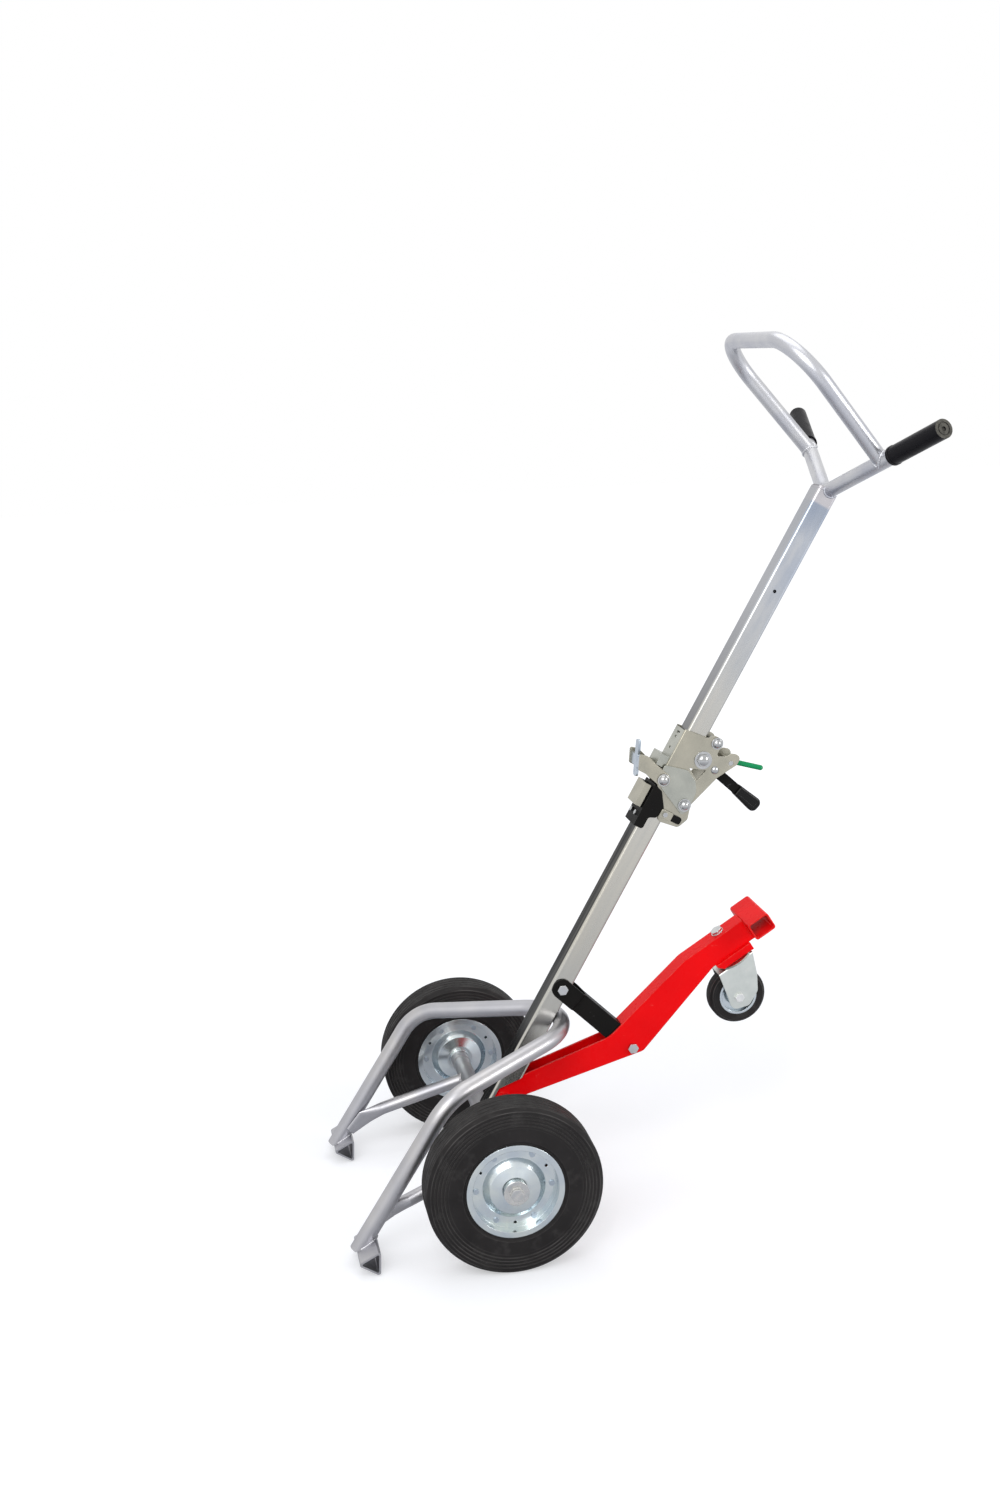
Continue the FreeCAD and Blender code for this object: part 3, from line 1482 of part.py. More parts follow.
def release_lever():
    pivot = release_place(0)
    eye = cross_rod(-release_half_thick, release_half_thick, pivot.y, pivot.z, release_eye_radius)
    bar = strip(pivot, release_place(release_length), release_half_depth)
    nose = vec(0, mast_back + 2 * turn_gap, pivot.z + release_dog_rise)
    dog = strip(nose, pivot, release_dog_half)
    body = eye.fuse(plate(bar, [0] * len(bar), -release_half_thick, release_half_thick))
    body = body.fuse(plate(dog, [0] * len(dog), -release_half_thick, release_half_thick)).removeSplitter()
    return body.cut(cross_rod(-cheek_outer, cheek_outer, pivot.y, pivot.z, release_pin_radius + shaft_fit))


def release_grip():
    start = release_place(release_grip_start)
    end = release_place(release_grip_start + release_grip_length)
    body = rod(start, end, release_grip_radius)
    ball = Part.makeSphere(release_grip_radius, end)
    body = body.fuse(ball).removeSplitter()
    slot = strip(release_place(0), release_place(release_length), release_half_depth)
    return body.cut(plate(slot, [0] * len(slot), -release_half_thick, release_half_thick))


# The list of pieces, and the stance

def pair(name, shape):
    return {name + "_left": shape, name + "_right": mirrored(shape)}


def build_pieces():
    pieces = {"mast_tube": mast_tube(), "base_hoop": base_hoop(), "axle_tube": axle_tube(),
              "wheel_axle": wheel_axle(), "axle_collars": axle_collars(), "axle_bolts": axle_bolts(),
              "handlebar": handlebar(), "push_loop": push_loop(),
              "support_arm": support_arm(), "castor_base_plate": castor_base_plate(),
              "foot_step": foot_step(), "arm_lugs": arm_lugs(),
              "arm_pivot_bolt": arm_pivot_bolt(), "arm_stay": arm_stay(), "stay_bolts": stay_bolts(),
              "castor_bolt": castor_bolt(), "castor_head": castor_head(), "castor_fork": castor_fork(),
              "castor_axle": castor_axle(), "castor_hub": castor_hub(),
              "castor_tyre": castor_tyre(), "carriage_strap": carriage_strap(), "front_glide": front_glide(),
              "rear_glide": rear_glide(), "carriage_spacers": carriage_spacers(),
              "carriage_bolts": carriage_bolts(), "clamp_screws": clamp_screws(),
              "pad_bracket": pad_bracket(),
              "rim_pad": rim_pad(), "pad_plate": pad_plate(), "buffer_block": buffer_block(),
              "buffer_clips": buffer_clips(), "hook_blade": hook_blade(), "hook_pivots": hook_pivots(),
              "lever_arm": lever_arm(), "lever_grip": lever_grip(), "pivot_pins": pivot_pins(),
              "release_lever": release_lever(), "release_grip": release_grip()}
    hook_arm = hook_arm_left()
    pieces["hook_arms"] = group(both_sides(hook_arm))
    for name, shape in (("toe", toe_left()), ("brace", brace_left()), ("grip", grip_left()),
                        ("tyre", tyre_left()), ("rim_outer", rim_half(1)), ("rim_inner", rim_half(-1)),
                        ("rim_bolts", rim_bolts_left()), ("side_plate", side_plate_left()),
                        ("jaw_cheek", jaw_cheek_left()), ("hub", hub_left())):
        pieces.update(pair(name, shape))
    return pieces


def lean_deg():
    # The lean at which the wheels and the heels of the toes touch one floor.
    tip, top, heel = toe_corners(toe_side)
    down = -heel.z
    back = axle_back - heel.y
    return math.degrees(math.acos(wheel_radius / math.hypot(down, back)) - math.atan2(back, down))


def stance(pieces):
    # Lean the trolley back, then put the origin under the middle of its box, on the floor.
    turn = FreeCAD.Placement(vec(0, 0, 0), FreeCAD.Rotation(vec(1, 0, 0), -lean_deg()))
    box = FreeCAD.BoundBox()
    for shape in pieces.values():
        leaning = shape.copy()
        leaning.Placement = turn.multiply(shape.Placement)
        box.add(leaning.BoundBox)
    middle = box.Center
    return FreeCAD.Placement(vec(-middle.x, -middle.y, -box.ZMin), turn.Rotation)


def main():
    os.makedirs("parts", exist_ok=True)
    pieces = build_pieces()
    place = stance(pieces)
    for name, shape in pieces.items():
        shape.Placement = place.multiply(shape.Placement)
        shape.exportStep(os.path.join("parts", name + ".step"))
        print(name, len(shape.Solids), shape.isValid(), round(shape.Volume))


if __name__ == "__main__":
    main()
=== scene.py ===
import json
import math

import bmesh
import bpy
from mathutils import Matrix, Vector


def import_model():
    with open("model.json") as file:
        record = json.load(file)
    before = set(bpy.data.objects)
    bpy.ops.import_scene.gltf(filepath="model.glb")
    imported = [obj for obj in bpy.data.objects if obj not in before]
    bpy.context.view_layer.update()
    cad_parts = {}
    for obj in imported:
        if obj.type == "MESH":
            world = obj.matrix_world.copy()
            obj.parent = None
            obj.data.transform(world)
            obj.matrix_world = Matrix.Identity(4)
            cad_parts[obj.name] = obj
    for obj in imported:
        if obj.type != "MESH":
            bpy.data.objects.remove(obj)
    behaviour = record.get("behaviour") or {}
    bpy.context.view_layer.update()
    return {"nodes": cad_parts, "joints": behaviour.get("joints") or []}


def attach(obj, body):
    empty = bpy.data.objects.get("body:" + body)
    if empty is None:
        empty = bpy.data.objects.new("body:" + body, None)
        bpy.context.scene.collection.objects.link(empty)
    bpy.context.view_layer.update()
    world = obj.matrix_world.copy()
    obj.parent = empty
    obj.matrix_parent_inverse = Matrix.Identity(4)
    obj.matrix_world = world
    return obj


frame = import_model()
nodes = frame["nodes"]
joints = {joint["name"]: joint for joint in frame["joints"]}

# The mast's own directions: up along it, and forward, square to it. along_mast turns a texture to its lean.
mast_way = Vector(joints["clamp_height"]["axis"]).normalized()
lean = math.atan2(mast_way.y, mast_way.z)
front_way = Vector((0, -math.cos(lean), math.sin(lean)))
along_mast = (-lean, 0, 0)


class Shader:
    """A material under construction, with short calls for its nodes."""

    def __init__(self, name):
        self.material = bpy.data.materials.new(name)
        self.material.use_nodes = True
        self.tree = self.material.node_tree
        self.main = self.tree.nodes["Principled BSDF"]
        self.coords = self.tree.nodes.new("ShaderNodeTexCoord").outputs["Object"]

    def set(self, **values):
        for key, value in values.items():
            self.main.inputs[key.replace("_", " ")].default_value = value

    def link(self, output, socket):
        self.tree.links.new(output, self.main.inputs[socket])

    def base(self):
        """What feeds the base colour so far."""
        return self.main.inputs["Base Color"].links[0].from_socket

    def node(self, kind, **values):
        made = self.tree.nodes.new(kind)
        for key, value in values.items():
            setattr(made, key, value)
        return made

    def feed(self, socket, value):
        if isinstance(value, bpy.types.NodeSocket):
            self.tree.links.new(value, socket)
        elif isinstance(value, tuple) and socket.type == "RGBA":
            socket.default_value = value + (1.0,)
        else:
            socket.default_value = value

    def stretched(self, scale, turn=(0, 0, 0)):
        made = self.node("ShaderNodeMapping", vector_type="TEXTURE")
        made.inputs["Rotation"].default_value = turn
        made.inputs["Scale"].default_value = scale
        self.feed(made.inputs["Vector"], self.coords)
        return made.outputs["Vector"]

    def noise(self, scale, detail=4.0, rough=0.55, vector=None):
        made = self.node("ShaderNodeTexNoise")
        made.inputs["Scale"].default_value = scale
        made.inputs["Detail"].default_value = detail
        made.inputs["Roughness"].default_value = rough
        self.feed(made.inputs["Vector"], vector or self.coords)
        return made.outputs["Fac"]

    def spread(self, value, low=0.0, high=1.0, start=0.3, end=0.7):
        """Runs from low to high as the value goes from start to end."""
        made = self.node("ShaderNodeMapRange")
        made.inputs["From Min"].default_value = start
        made.inputs["From Max"].default_value = end
        made.inputs["To Min"].default_value = low
        made.inputs["To Max"].default_value = high
        self.feed(made.inputs["Value"], value)
        return made.outputs["Result"]

    def mix(self, factor, first, second):
        made = self.node("ShaderNodeMix", data_type="RGBA")
        self.feed(made.inputs["Factor"], factor)
        self.feed(made.inputs["A"], first)
        self.feed(made.inputs["B"], second)
        return made.outputs["Result"]

    def math(self, operation, first, second=0.0):
        made = self.node("ShaderNodeMath", operation=operation)
        self.feed(made.inputs[0], first)
        self.feed(made.inputs[1], second)
        return made.outputs["Value"]

    def vector(self, operation, first, second=(0, 0, 0)):
        made = self.node("ShaderNodeVectorMath", operation=operation)
        self.feed(made.inputs[0], first)
        self.feed(made.inputs[1], second)
        return made.outputs["Value" if operation in ("LENGTH", "DOT_PRODUCT") else "Vector"]

    def normal(self):
        return self.node("ShaderNodeNewGeometry").outputs["Normal"]

    def facing(self, way):
        """One where the surface faces along a direction or against it, and zero where it lies along it."""
        return self.math("ABSOLUTE", self.vector("DOT_PRODUCT", self.normal(), way))

    def eased(self, radius):
        """The normal with the sharp edges rounded off by a radius."""
        made = self.node("ShaderNodeBevel", samples=4)
        made.inputs["Radius"].default_value = radius
        return made.outputs["Normal"]

    def edges(self, rounded, gain, most=1.0):
        """The most on the edges, where the rounded normal leaves the true one, and zero elsewhere."""
        apart = self.math("SUBTRACT", 1.0, self.vector("DOT_PRODUCT", self.normal(), rounded))
        return self.spread(apart, high=most, start=0.01, end=1.0 / gain)

    def bump(self, height, strength, depth, normal=None):
        made = self.node("ShaderNodeBump")
        made.inputs["Strength"].default_value = strength
        made.inputs["Distance"].default_value = depth
        self.feed(made.inputs["Height"], height)
        if normal:
            self.feed(made.inputs["Normal"], normal)
        self.link(made.outputs["Normal"], "Normal")

    def from_axle(self, joint):
        """Distance from a wheel's axle, which lies along x."""
        spoke = self.vector("SUBTRACT", self.coords, Vector(joints[joint]["pos_m"]))
        return self.vector("LENGTH", self.vector("MULTIPLY", spoke, (0.0, 1.0, 1.0)))

    def rings(self, reach, pitch):
        """A wave of rings round an axle, from minus one to one."""
        return self.math("SINE", self.math("MULTIPLY", reach, 2 * math.pi / pitch))


def put(material, *names):
    for name in names:
        mesh = nodes[name].data
        mesh.materials.clear()
        mesh.materials.append(material)


def tone(colour, share):
    return tuple(channel * share for channel in colour)


# Zinc

def zinc(name, cool, warm, rough, streak=(0.05, 0.05, 0.05), turn=(0, 0, 0), dull=0.10):
    """Zinc plate: slow clouds from cool to warm, and faint duller streaks. The caller adds its bump."""
    cloud_rough, streak_rough = 0.04, 0.05
    made = Shader(name)
    made.set(Metallic=1.0)
    cloud = made.noise(scale=4.0, detail=2.0, rough=0.5)
    lines = made.noise(scale=1.0, detail=3.0, rough=0.5, vector=made.stretched(streak, turn))
    shade = made.mix(made.spread(cloud), cool, warm)
    shade = made.mix(made.spread(lines), shade, tone(cool, share=1 - dull))
    made.link(shade, "Base Color")
    uneven = made.spread(cloud, low=rough - cloud_rough, high=rough + cloud_rough)
    made.link(made.math("ADD", uneven, made.spread(lines, high=streak_rough)), "Roughness")
    return made


def wavy(made, strength, normal=None):
    """The slight waves of drawn tube and rolled sheet."""
    made.bump(made.noise(scale=28.0, detail=1.0), strength, depth=0.0006, normal=normal)


def drawn_zinc(name, cool, warm, rough):
    """Zinc-plated round tube."""
    made = zinc(name, cool, warm, rough)
    wavy(made, strength=0.06)
    return made.material


def sheet_zinc(name, cool, warm, rough, patch, edge=0.0007):
    """Zinc-plated sheet and fasteners, with their sharp edges eased and painted brighter as a highlight."""
    made = zinc(name, cool, warm, rough, streak=(patch, patch, patch))
    rounded = made.eased(edge)
    # Painted highlight: the eased edges are painted brighter than the warm tone.
    painted_edge_highlight = made.edges(rounded, gain=3.0, most=0.6)
    made.link(made.mix(painted_edge_highlight, made.base(), tone(warm, share=1.3)), "Base Color")
    wavy(made, strength=0.10, normal=rounded)
    return made.material


def mast_with_painted_reflection():
    """The mast: drawn lines along it, a painted dark reflection on the faces in front and behind, fading out
    upwards, and above that sides that turn blue below a pale top."""
    dark_reflection, front_top = (0.040, 0.042, 0.048), (0.56, 0.57, 0.60)
    dark_band, pale_band = (0.40, 0.45, 0.54), (0.56, 0.58, 0.62)
    deep_blue, pale_top = (0.29, 0.34, 0.43), (0.58, 0.56, 0.58)
    made = zinc("mast_zinc", cool=(0.53, 0.52, 0.48), warm=(0.57, 0.53, 0.45), rough=0.24,
                streak=(0.012, 0.012, 0.30), turn=along_mast, dull=0.06)
    made.set(Specular_Tint=(0.5, 0.5, 0.5, 1.0))
    wavy(made, strength=0.06)
    height = made.vector("DOT_PRODUCT", made.coords, mast_way)
    top = max(vert.co.dot(mast_way) for vert in nodes["mast_tube"].data.vertices)
    bands = made.noise(scale=1.0, detail=3.0, rough=0.6,
                       vector=made.stretched((0.03, 0.03, 0.12), along_mast))
    blue = made.mix(made.spread(bands, start=0.35, end=0.65), dark_band, pale_band)
    sides = made.mix(made.spread(height, high=0.9, start=0.75, end=1.05), made.base(), blue)
    sides = made.mix(made.spread(height, high=0.65, start=top - 0.085, end=top - 0.035), sides, deep_blue)
    sides = made.mix(made.spread(height, high=0.95, start=top - 0.024, end=top - 0.020), sides, pale_top)
    # Painted dark reflection on the faces in front and behind: darkest low down, fading out upwards, streaked
    # along the mast.
    front_reflection = made.mix(made.spread(height, start=0.55, end=1.00), dark_reflection, front_top)
    streaky_noise = made.noise(scale=1.0, detail=4.0, rough=0.6,
                        vector=made.stretched((0.008, 0.008, 0.20), along_mast))
    painted_reflection_mask = made.math("MULTIPLY", made.spread(made.facing(front_way), start=0.93, end=0.99),
                       made.spread(streaky_noise, low=0.75))
    made.link(made.mix(painted_reflection_mask, sides, front_reflection), "Base Color")
    return made.material


def pressed_rim(name, joint):
    """Bluish bright zinc with the slow waves and the fine turned rings of a pressed wheel disc."""
    slow_height, ring_height = 6.0, 0.03
    made = zinc(name, cool=(0.63, 0.70, 0.76), warm=(0.75, 0.79, 0.75), rough=0.15, streak=(0.03, 0.03, 0.03))
    rings = made.rings(made.from_axle(joint), pitch=0.0031)
    slow = made.math("MULTIPLY", made.noise(scale=14.0, detail=1.0), slow_height)
    waves = made.math("ADD", slow, made.math("MULTIPLY", rings, ring_height))
    made.bump(waves, strength=0.12, depth=0.0012, normal=made.eased(radius=0.0015))
    return made.material


mast_zinc = mast_with_painted_reflection()
tube_zinc = drawn_zinc("tube_zinc", (0.47, 0.47, 0.50), (0.54, 0.52, 0.50), rough=0.38)
handle_zinc = drawn_zinc("handle_zinc", (0.52, 0.53, 0.58), (0.60, 0.60, 0.60), rough=0.33)
jaw_zinc = sheet_zinc("jaw_zinc", (0.40, 0.41, 0.37), (0.48, 0.48, 0.42), rough=0.28, patch=0.03)
warm_zinc = sheet_zinc("warm_zinc", (0.41, 0.395, 0.33), (0.50, 0.465, 0.37), rough=0.30, patch=0.03)
fork_zinc = sheet_zinc("fork_zinc", (0.68, 0.72, 0.69), (0.75, 0.76, 0.72), rough=0.36, patch=0.02)
# Its blue tint is a painted reflection of a blue drum.
blade_zinc_blue_reflection = sheet_zinc("blade_zinc_blue_reflection", (0.45, 0.52, 0.60), (0.54, 0.59, 0.63), rough=0.27, patch=0.02)
bolt_zinc = sheet_zinc("bolt_zinc", (0.44, 0.45, 0.46), (0.52, 0.51, 0.48), rough=0.16, patch=0.01)
bright_bolt = sheet_zinc("bright_bolt", (0.60, 0.61, 0.62), (0.70, 0.69, 0.66), rough=0.22, patch=0.01,
                         edge=0.0015)
light_bolt = sheet_zinc("light_bolt", (0.88, 0.89, 0.88), (0.94, 0.94, 0.92), rough=0.28, patch=0.01,
                        edge=0.0015)


# Paint and dip

def coat(name, colour, deep, worn, rough, gloss, edge=0.0012):
    """Powder coat: orange peel, a slow change of depth, edges painted in the worn colour where the coat is
    thin and as a painted highlight, and small scuffs.
    """
    made = Shader(name)
    made.set(Coat_Weight=gloss, Coat_Roughness=0.10, Specular_IOR_Level=0.06)
    rounded = made.eased(edge)
    body = made.mix(made.spread(made.noise(scale=11.0, detail=3.0)), deep, colour)
    streaky_noise = made.noise(scale=1.0, detail=6.0, rough=0.7, vector=made.stretched((0.02, 0.035, 0.012)))
    body = made.mix(made.spread(streaky_noise, high=0.7, start=0.66, end=0.74), body, worn)
    # Edges painted in the worn colour: partly chipped coat, partly a painted highlight.
    broken = made.spread(made.noise(scale=90.0), low=0.25, start=0.40, end=0.62)
    chips_and_edge_highlight = made.math("MULTIPLY", made.edges(rounded, gain=3.0), broken)
    made.link(made.mix(chips_and_edge_highlight, body, worn), "Base Color")
    made.link(made.spread(made.noise(scale=60.0), low=rough - 0.05, high=rough + 0.07), "Roughness")
    made.bump(made.noise(scale=330.0, detail=2.0), strength=0.12, depth=0.0004, normal=rounded)
    return made.material


# The red's pale pink worn colour marks its scuffs and, on the edges, stands as a painted highlight.
red_coat = coat("red_coat", colour=(0.94, 0.003, 0.005), deep=(0.84, 0.002, 0.004), worn=(1.0, 0.22, 0.18),
                rough=0.28, gloss=0.05, edge=0.0024)
black_coat = coat("black_coat", colour=(0.012, 0.011, 0.010), deep=(0.007, 0.007, 0.007),
                  worn=(0.08, 0.08, 0.08), rough=0.42, gloss=0.0)
green_dip = coat("green_dip", colour=(0.004, 0.33, 0.12), deep=(0.003, 0.25, 0.085), worn=(0.01, 0.42, 0.17),
                 rough=0.22, gloss=0.3)


# Rubber and plastic

grey_rub_and_highlight = (0.06, 0.06, 0.062)


def moulded(name, colour, dust, rough, grain, sheen, rub_and_highlight=grey_rub_and_highlight):
    """Moulded rubber or plastic: a fine leathery grain, dull patches from hands and pale edges, rubbed and
    painted as a highlight.
    """
    made = Shader(name)
    made.set(Specular_IOR_Level=sheen)
    rounded = made.eased(radius=0.001)
    body = made.mix(made.spread(made.noise(scale=24.0, detail=5.0), high=0.5), colour, dust)
    # Pale edges: partly rubbed, partly a painted highlight.
    made.link(made.mix(made.edges(rounded, gain=3.0, most=0.8), body, rub_and_highlight), "Base Color")
    made.link(made.spread(made.noise(scale=70.0), low=rough - 0.08, high=rough + 0.1), "Roughness")
    made.bump(made.noise(scale=grain, detail=3.0), strength=0.15, depth=0.0005, normal=rounded)
    return made


def worn_grip():
    """The grips: as moulded, with their end faces, far out along x, worn to a dull grey."""
    worn_end = (0.135, 0.130, 0.112)
    end_start, end_full = 0.280, 0.285
    across = (1, 0, 0)
    made = moulded("grip_black", colour=(0.0035, 0.0031, 0.0048), dust=(0.009, 0.0085, 0.011), rough=0.32,
                   grain=240.0, sheen=0.08)
    reach = made.math("ABSOLUTE", made.vector("DOT_PRODUCT", made.coords, across))
    end = made.math("MULTIPLY", made.spread(made.facing(across), start=0.60, end=0.88),
                    made.spread(reach, start=end_start, end=end_full))
    worn = made.math("MULTIPLY", end, made.spread(made.noise(scale=160.0), low=0.45))
    made.link(made.mix(worn, made.base(), worn_end), "Base Color")
    return made.material


def tyre_rubber(name, joint, pitch, ring_start):
    """Charcoal rubber: pale scuffs, pale edges that are rubbed and painted as a highlight, and thin raised
    rings on the outer part of the wall.
    """
    black, charcoal = (0.012, 0.0110, 0.0112), (0.023, 0.0208, 0.0208)
    scuffed, rubbed_ring, rubbed_and_highlit_edge = (0.065, 0.062, 0.060), (0.085, 0.080, 0.078), (0.12, 0.115, 0.11)
    thinness, grain_height = 5.0, 0.6
    made = Shader(name)
    made.set(Specular_IOR_Level=0.15)
    reach = made.from_axle(joint)
    rings = made.math("POWER", made.math("MAXIMUM", made.rings(reach, pitch), 0.0), thinness)
    rings = made.math("MULTIPLY", rings, made.spread(reach, start=ring_start, end=ring_start + pitch))
    dark = made.mix(made.spread(made.noise(scale=13.0, detail=5.0)), black, charcoal)
    streaky_noise = made.noise(scale=1.0, detail=4.0, rough=0.6, vector=made.stretched((0.004, 0.02, 0.02)))
    dark = made.mix(made.spread(streaky_noise, high=0.45, start=0.55, end=0.8), dark, scuffed)
    patches = made.spread(made.noise(scale=16.0, detail=3.0), high=0.9, start=0.38, end=0.62)
    dark = made.mix(made.math("MULTIPLY", rings, patches), dark, rubbed_ring)
    # Pale edges: partly rubbed, partly a painted highlight.
    rounded = made.eased(radius=0.0012)
    made.link(made.mix(made.edges(rounded, gain=4.0, most=0.8), dark, rubbed_and_highlit_edge), "Base Color")
    made.link(made.spread(made.noise(scale=50.0), low=0.50, high=0.70), "Roughness")
    grain = made.math("MULTIPLY", made.noise(scale=300.0, detail=3.0), grain_height)
    made.bump(made.math("ADD", rings, grain), strength=0.25, depth=0.0008, normal=rounded)
    return made.material


grip_black = worn_grip()
gloss_black = moulded("gloss_black", colour=(0.003, 0.003, 0.003), dust=(0.006, 0.006, 0.006), rough=0.18,
                      grain=60.0, sheen=0.20).material
soft_black = moulded("soft_black", colour=(0.005, 0.005, 0.005), dust=(0.013, 0.012, 0.012), rough=0.55,
                     grain=240.0, sheen=0.1).material
nylon = moulded("nylon", colour=(0.82, 0.82, 0.79), dust=(0.70, 0.69, 0.65), rough=0.5, grain=600.0,
                sheen=0.5, rub_and_highlight=(0.88, 0.88, 0.86)).material


# Materials on the nodes

put(mast_zinc, "mast_tube")
put(handle_zinc, "handlebar", "push_loop")
put(tube_zinc, "base_hoop", "toe_left", "toe_right", "axle_tube", "brace_left", "brace_right", "axle_collars",
    "arm_lugs")
put(fork_zinc, "castor_fork")
put(warm_zinc, "side_plate_left", "side_plate_right", "pad_plate", "hook_arms", "release_lever",
    "buffer_clips")
put(jaw_zinc, "carriage_strap", "jaw_cheek_left", "jaw_cheek_right", "castor_head")
for side in ("left", "right"):
    spin = "wheel_" + side + "_spin"
    put(pressed_rim("rim_zinc_" + side, spin), "rim_outer_" + side, "rim_inner_" + side, "hub_" + side)
    put(tyre_rubber("tyre_rubber_" + side, spin, pitch=0.0055, ring_start=0.104), "tyre_" + side)
put(pressed_rim("castor_zinc", "castor_spin"), "castor_hub")
put(tyre_rubber("castor_rubber", "castor_spin", pitch=0.004, ring_start=0.040), "castor_tyre")
put(blade_zinc_blue_reflection, "hook_blade", "rim_bolts_left", "rim_bolts_right")
put(bolt_zinc, "wheel_axle", "carriage_bolts", "clamp_screws", "pivot_pins", "hook_pivots",
    "carriage_spacers")
put(bright_bolt, "axle_bolts", "arm_pivot_bolt", "stay_bolts", "castor_bolt")
put(light_bolt, "castor_axle")
put(red_coat, "support_arm", "castor_base_plate", "foot_step")
put(black_coat, "arm_stay", "pad_bracket", "lever_arm")
put(green_dip, "release_grip")
put(grip_black, "grip_left", "grip_right")
put(gloss_black, "lever_grip")
put(soft_black, "rim_pad", "buffer_block")
put(nylon, "front_glide", "rear_glide")


# Mast cap and weld beads. Their places are given as on the upright mast, in metres: across, back from the
# mast's middle and up from the axle. The sizes are those of the solids that they sit on.

axle_place = Vector((0, *joints["wheel_left_spin"]["pos_m"][1:]))
axle_back = -0.009
axle_tube_radius = 0.015
mast_half_width, mast_half_depth, mast_corner = 0.020, 0.018, 0.005
handle_back, handle_up, handle_radius = 0.003, 1.185, 0.0125
handle_rise = math.tan(math.radians(23.5))
loop_reach = 0.152
loop_run = (0.022, -0.228, 0.086)
brace_radius, brace_reach = 0.011, 0.150
brace_bend = (0.1733, -0.115632, -0.122)
leg_radius, leg_reach = 0.014, 0.190
leg_foot_back, leg_foot_up = -0.157, -0.224
leg_run = (0, 0.015, 0.285)
toe_tip_back, toe_tip_up = -0.164, -0.225
toe_tilt = math.radians(33)
ripple_points = 4


def way(across, back, up):
    return Vector((across, 0, 0)) - front_way * back + mast_way * up


def place(across, back, up):
    return axle_place + way(across, back - axle_back, up)


def on_frame(name, mesh, material):
    mesh.shade_smooth()
    mesh.materials.clear()
    mesh.materials.append(material)
    made = bpy.data.objects.new(name, mesh)
    bpy.context.scene.collection.objects.link(made)
    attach(made, "frame")


def mast_cap():
    """A low rounded cap that closes the mast's top round the handlebar."""
    corner_steps = 6
    rise_and_inset = ((0.0, 0.0), (0.003, 0.0003), (0.005, 0.0013), (0.0063, 0.003), (0.007, 0.0055))
    shape = bmesh.new()
    rings = []
    for rise, inset in rise_and_inset:
        wide, deep = mast_half_width - inset - mast_corner, mast_half_depth - inset - mast_corner
        corners = ((wide, deep), (-wide, deep), (-wide, -deep), (wide, -deep))
        ring = []
        for quarter, (across, back) in enumerate(corners):
            for step in range(corner_steps + 1):
                turn = math.pi / 2 * (quarter + step / corner_steps)
                spot = place(across + mast_corner * math.cos(turn), back + mast_corner * math.sin(turn),
                             handle_up + rise)
                ring.append(shape.verts.new(spot))
        rings.append(ring)
    for low, high in zip(rings, rings[1:]):
        for index in range(len(low)):
            shape.faces.new((low[index - 1], low[index], high[index], high[index - 1]))
    shape.faces.new(rings[0][::-1])
    shape.faces.new(rings[-1])
    mesh = bpy.data.meshes.new("mast_cap")
    shape.to_mesh(mesh)
    shape.free()
    on_frame("mast_cap", mesh, mast_zinc)


def spokes(axis, radius, count):
    """Spokes of a circle round an axis, one after the other."""
    first = axis.orthogonal().normalized()
    second = axis.cross(first).normalized()
    turns = [2 * math.pi * index / count for index in range(count)]
    return [radius * (math.cos(turn) * first + math.sin(turn) * second) for turn in turns]


def saddle(foot, axis, radius, bar_axis, bar_radius, ripples):
    """The closed line where a tube that starts on a bar's axis comes out of that bar."""
    axis, bar_axis = axis.normalized(), bar_axis.normalized()
    slope = axis - bar_axis * axis.dot(bar_axis)
    line = []
    for spoke in spokes(axis, radius, ripples * ripple_points):
        off = spoke - bar_axis * spoke.dot(bar_axis)
        half = off.dot(slope)
        rest = off.length_squared - bar_radius ** 2
        root = math.sqrt(max(half ** 2 - slope.length_squared * rest, 0.0))
        line.append(foot + spoke + axis * ((root - half) / slope.length_squared))
    return line


def bead(name, line, closed, thick, material):
    """A rippled weld bead along a line, which swells slowly and thins out at open ends."""
    ripple, swell, swells = 0.09, 0.07, 5
    end_share, end_gain = 0.45, 0.2
    curve = bpy.data.curves.new(name, "CURVE")
    curve.dimensions = "3D"
    curve.bevel_depth = thick
    curve.bevel_resolution = 3
    curve.use_fill_caps = not closed
    spline = curve.splines.new("POLY")
    last = len(line) - 1
    spline.points.add(last)
    for index, (point, spot) in enumerate(zip(spline.points, line)):
        point.co = (*spot, 1)
        ends = 1.0 if closed else min(1.0, end_share + end_gain * min(index, last - index))
        slow = swell * math.sin(2 * math.pi * swells * index / len(line))
        point.radius = ends * (1 + slow + ripple * math.cos(2 * math.pi * index / ripple_points))
    spline.use_cyclic_u = closed
    path = bpy.data.objects.new(name + "_path", curve)
    mesh = bpy.data.meshes.new_from_object(path)
    bpy.data.objects.remove(path)
    on_frame(name, mesh, material)


def loop_weld(side, sign):
    """Round the push loop's end on the handlebar."""
    foot = place(sign * loop_reach, handle_back, handle_up + loop_reach * handle_rise)
    across, back, up = loop_run
    line = saddle(foot, way(sign * across, back, up), handle_radius, way(sign, 0, handle_rise), handle_radius,
                  ripples=28)
    bead("weld_loop_" + side, line, closed=True, thick=0.0025, material=handle_zinc)


def mast_weld(side, sign):
    """Under the handlebar, where it comes out of the mast's side."""
    widest, ripples = math.radians(75), 11
    count = ripples * ripple_points
    tall = handle_radius * math.sqrt(1 + handle_rise ** 2)
    middle_up = handle_up + mast_half_width * handle_rise
    turns = [widest * (2 * index / count - 1) for index in range(count + 1)]
    line = [place(sign * mast_half_width, handle_back + handle_radius * math.sin(turn),
                  middle_up - tall * math.cos(turn)) for turn in turns]
    bead("weld_mast_" + side, line, closed=False, thick=0.0022, material=handle_zinc)


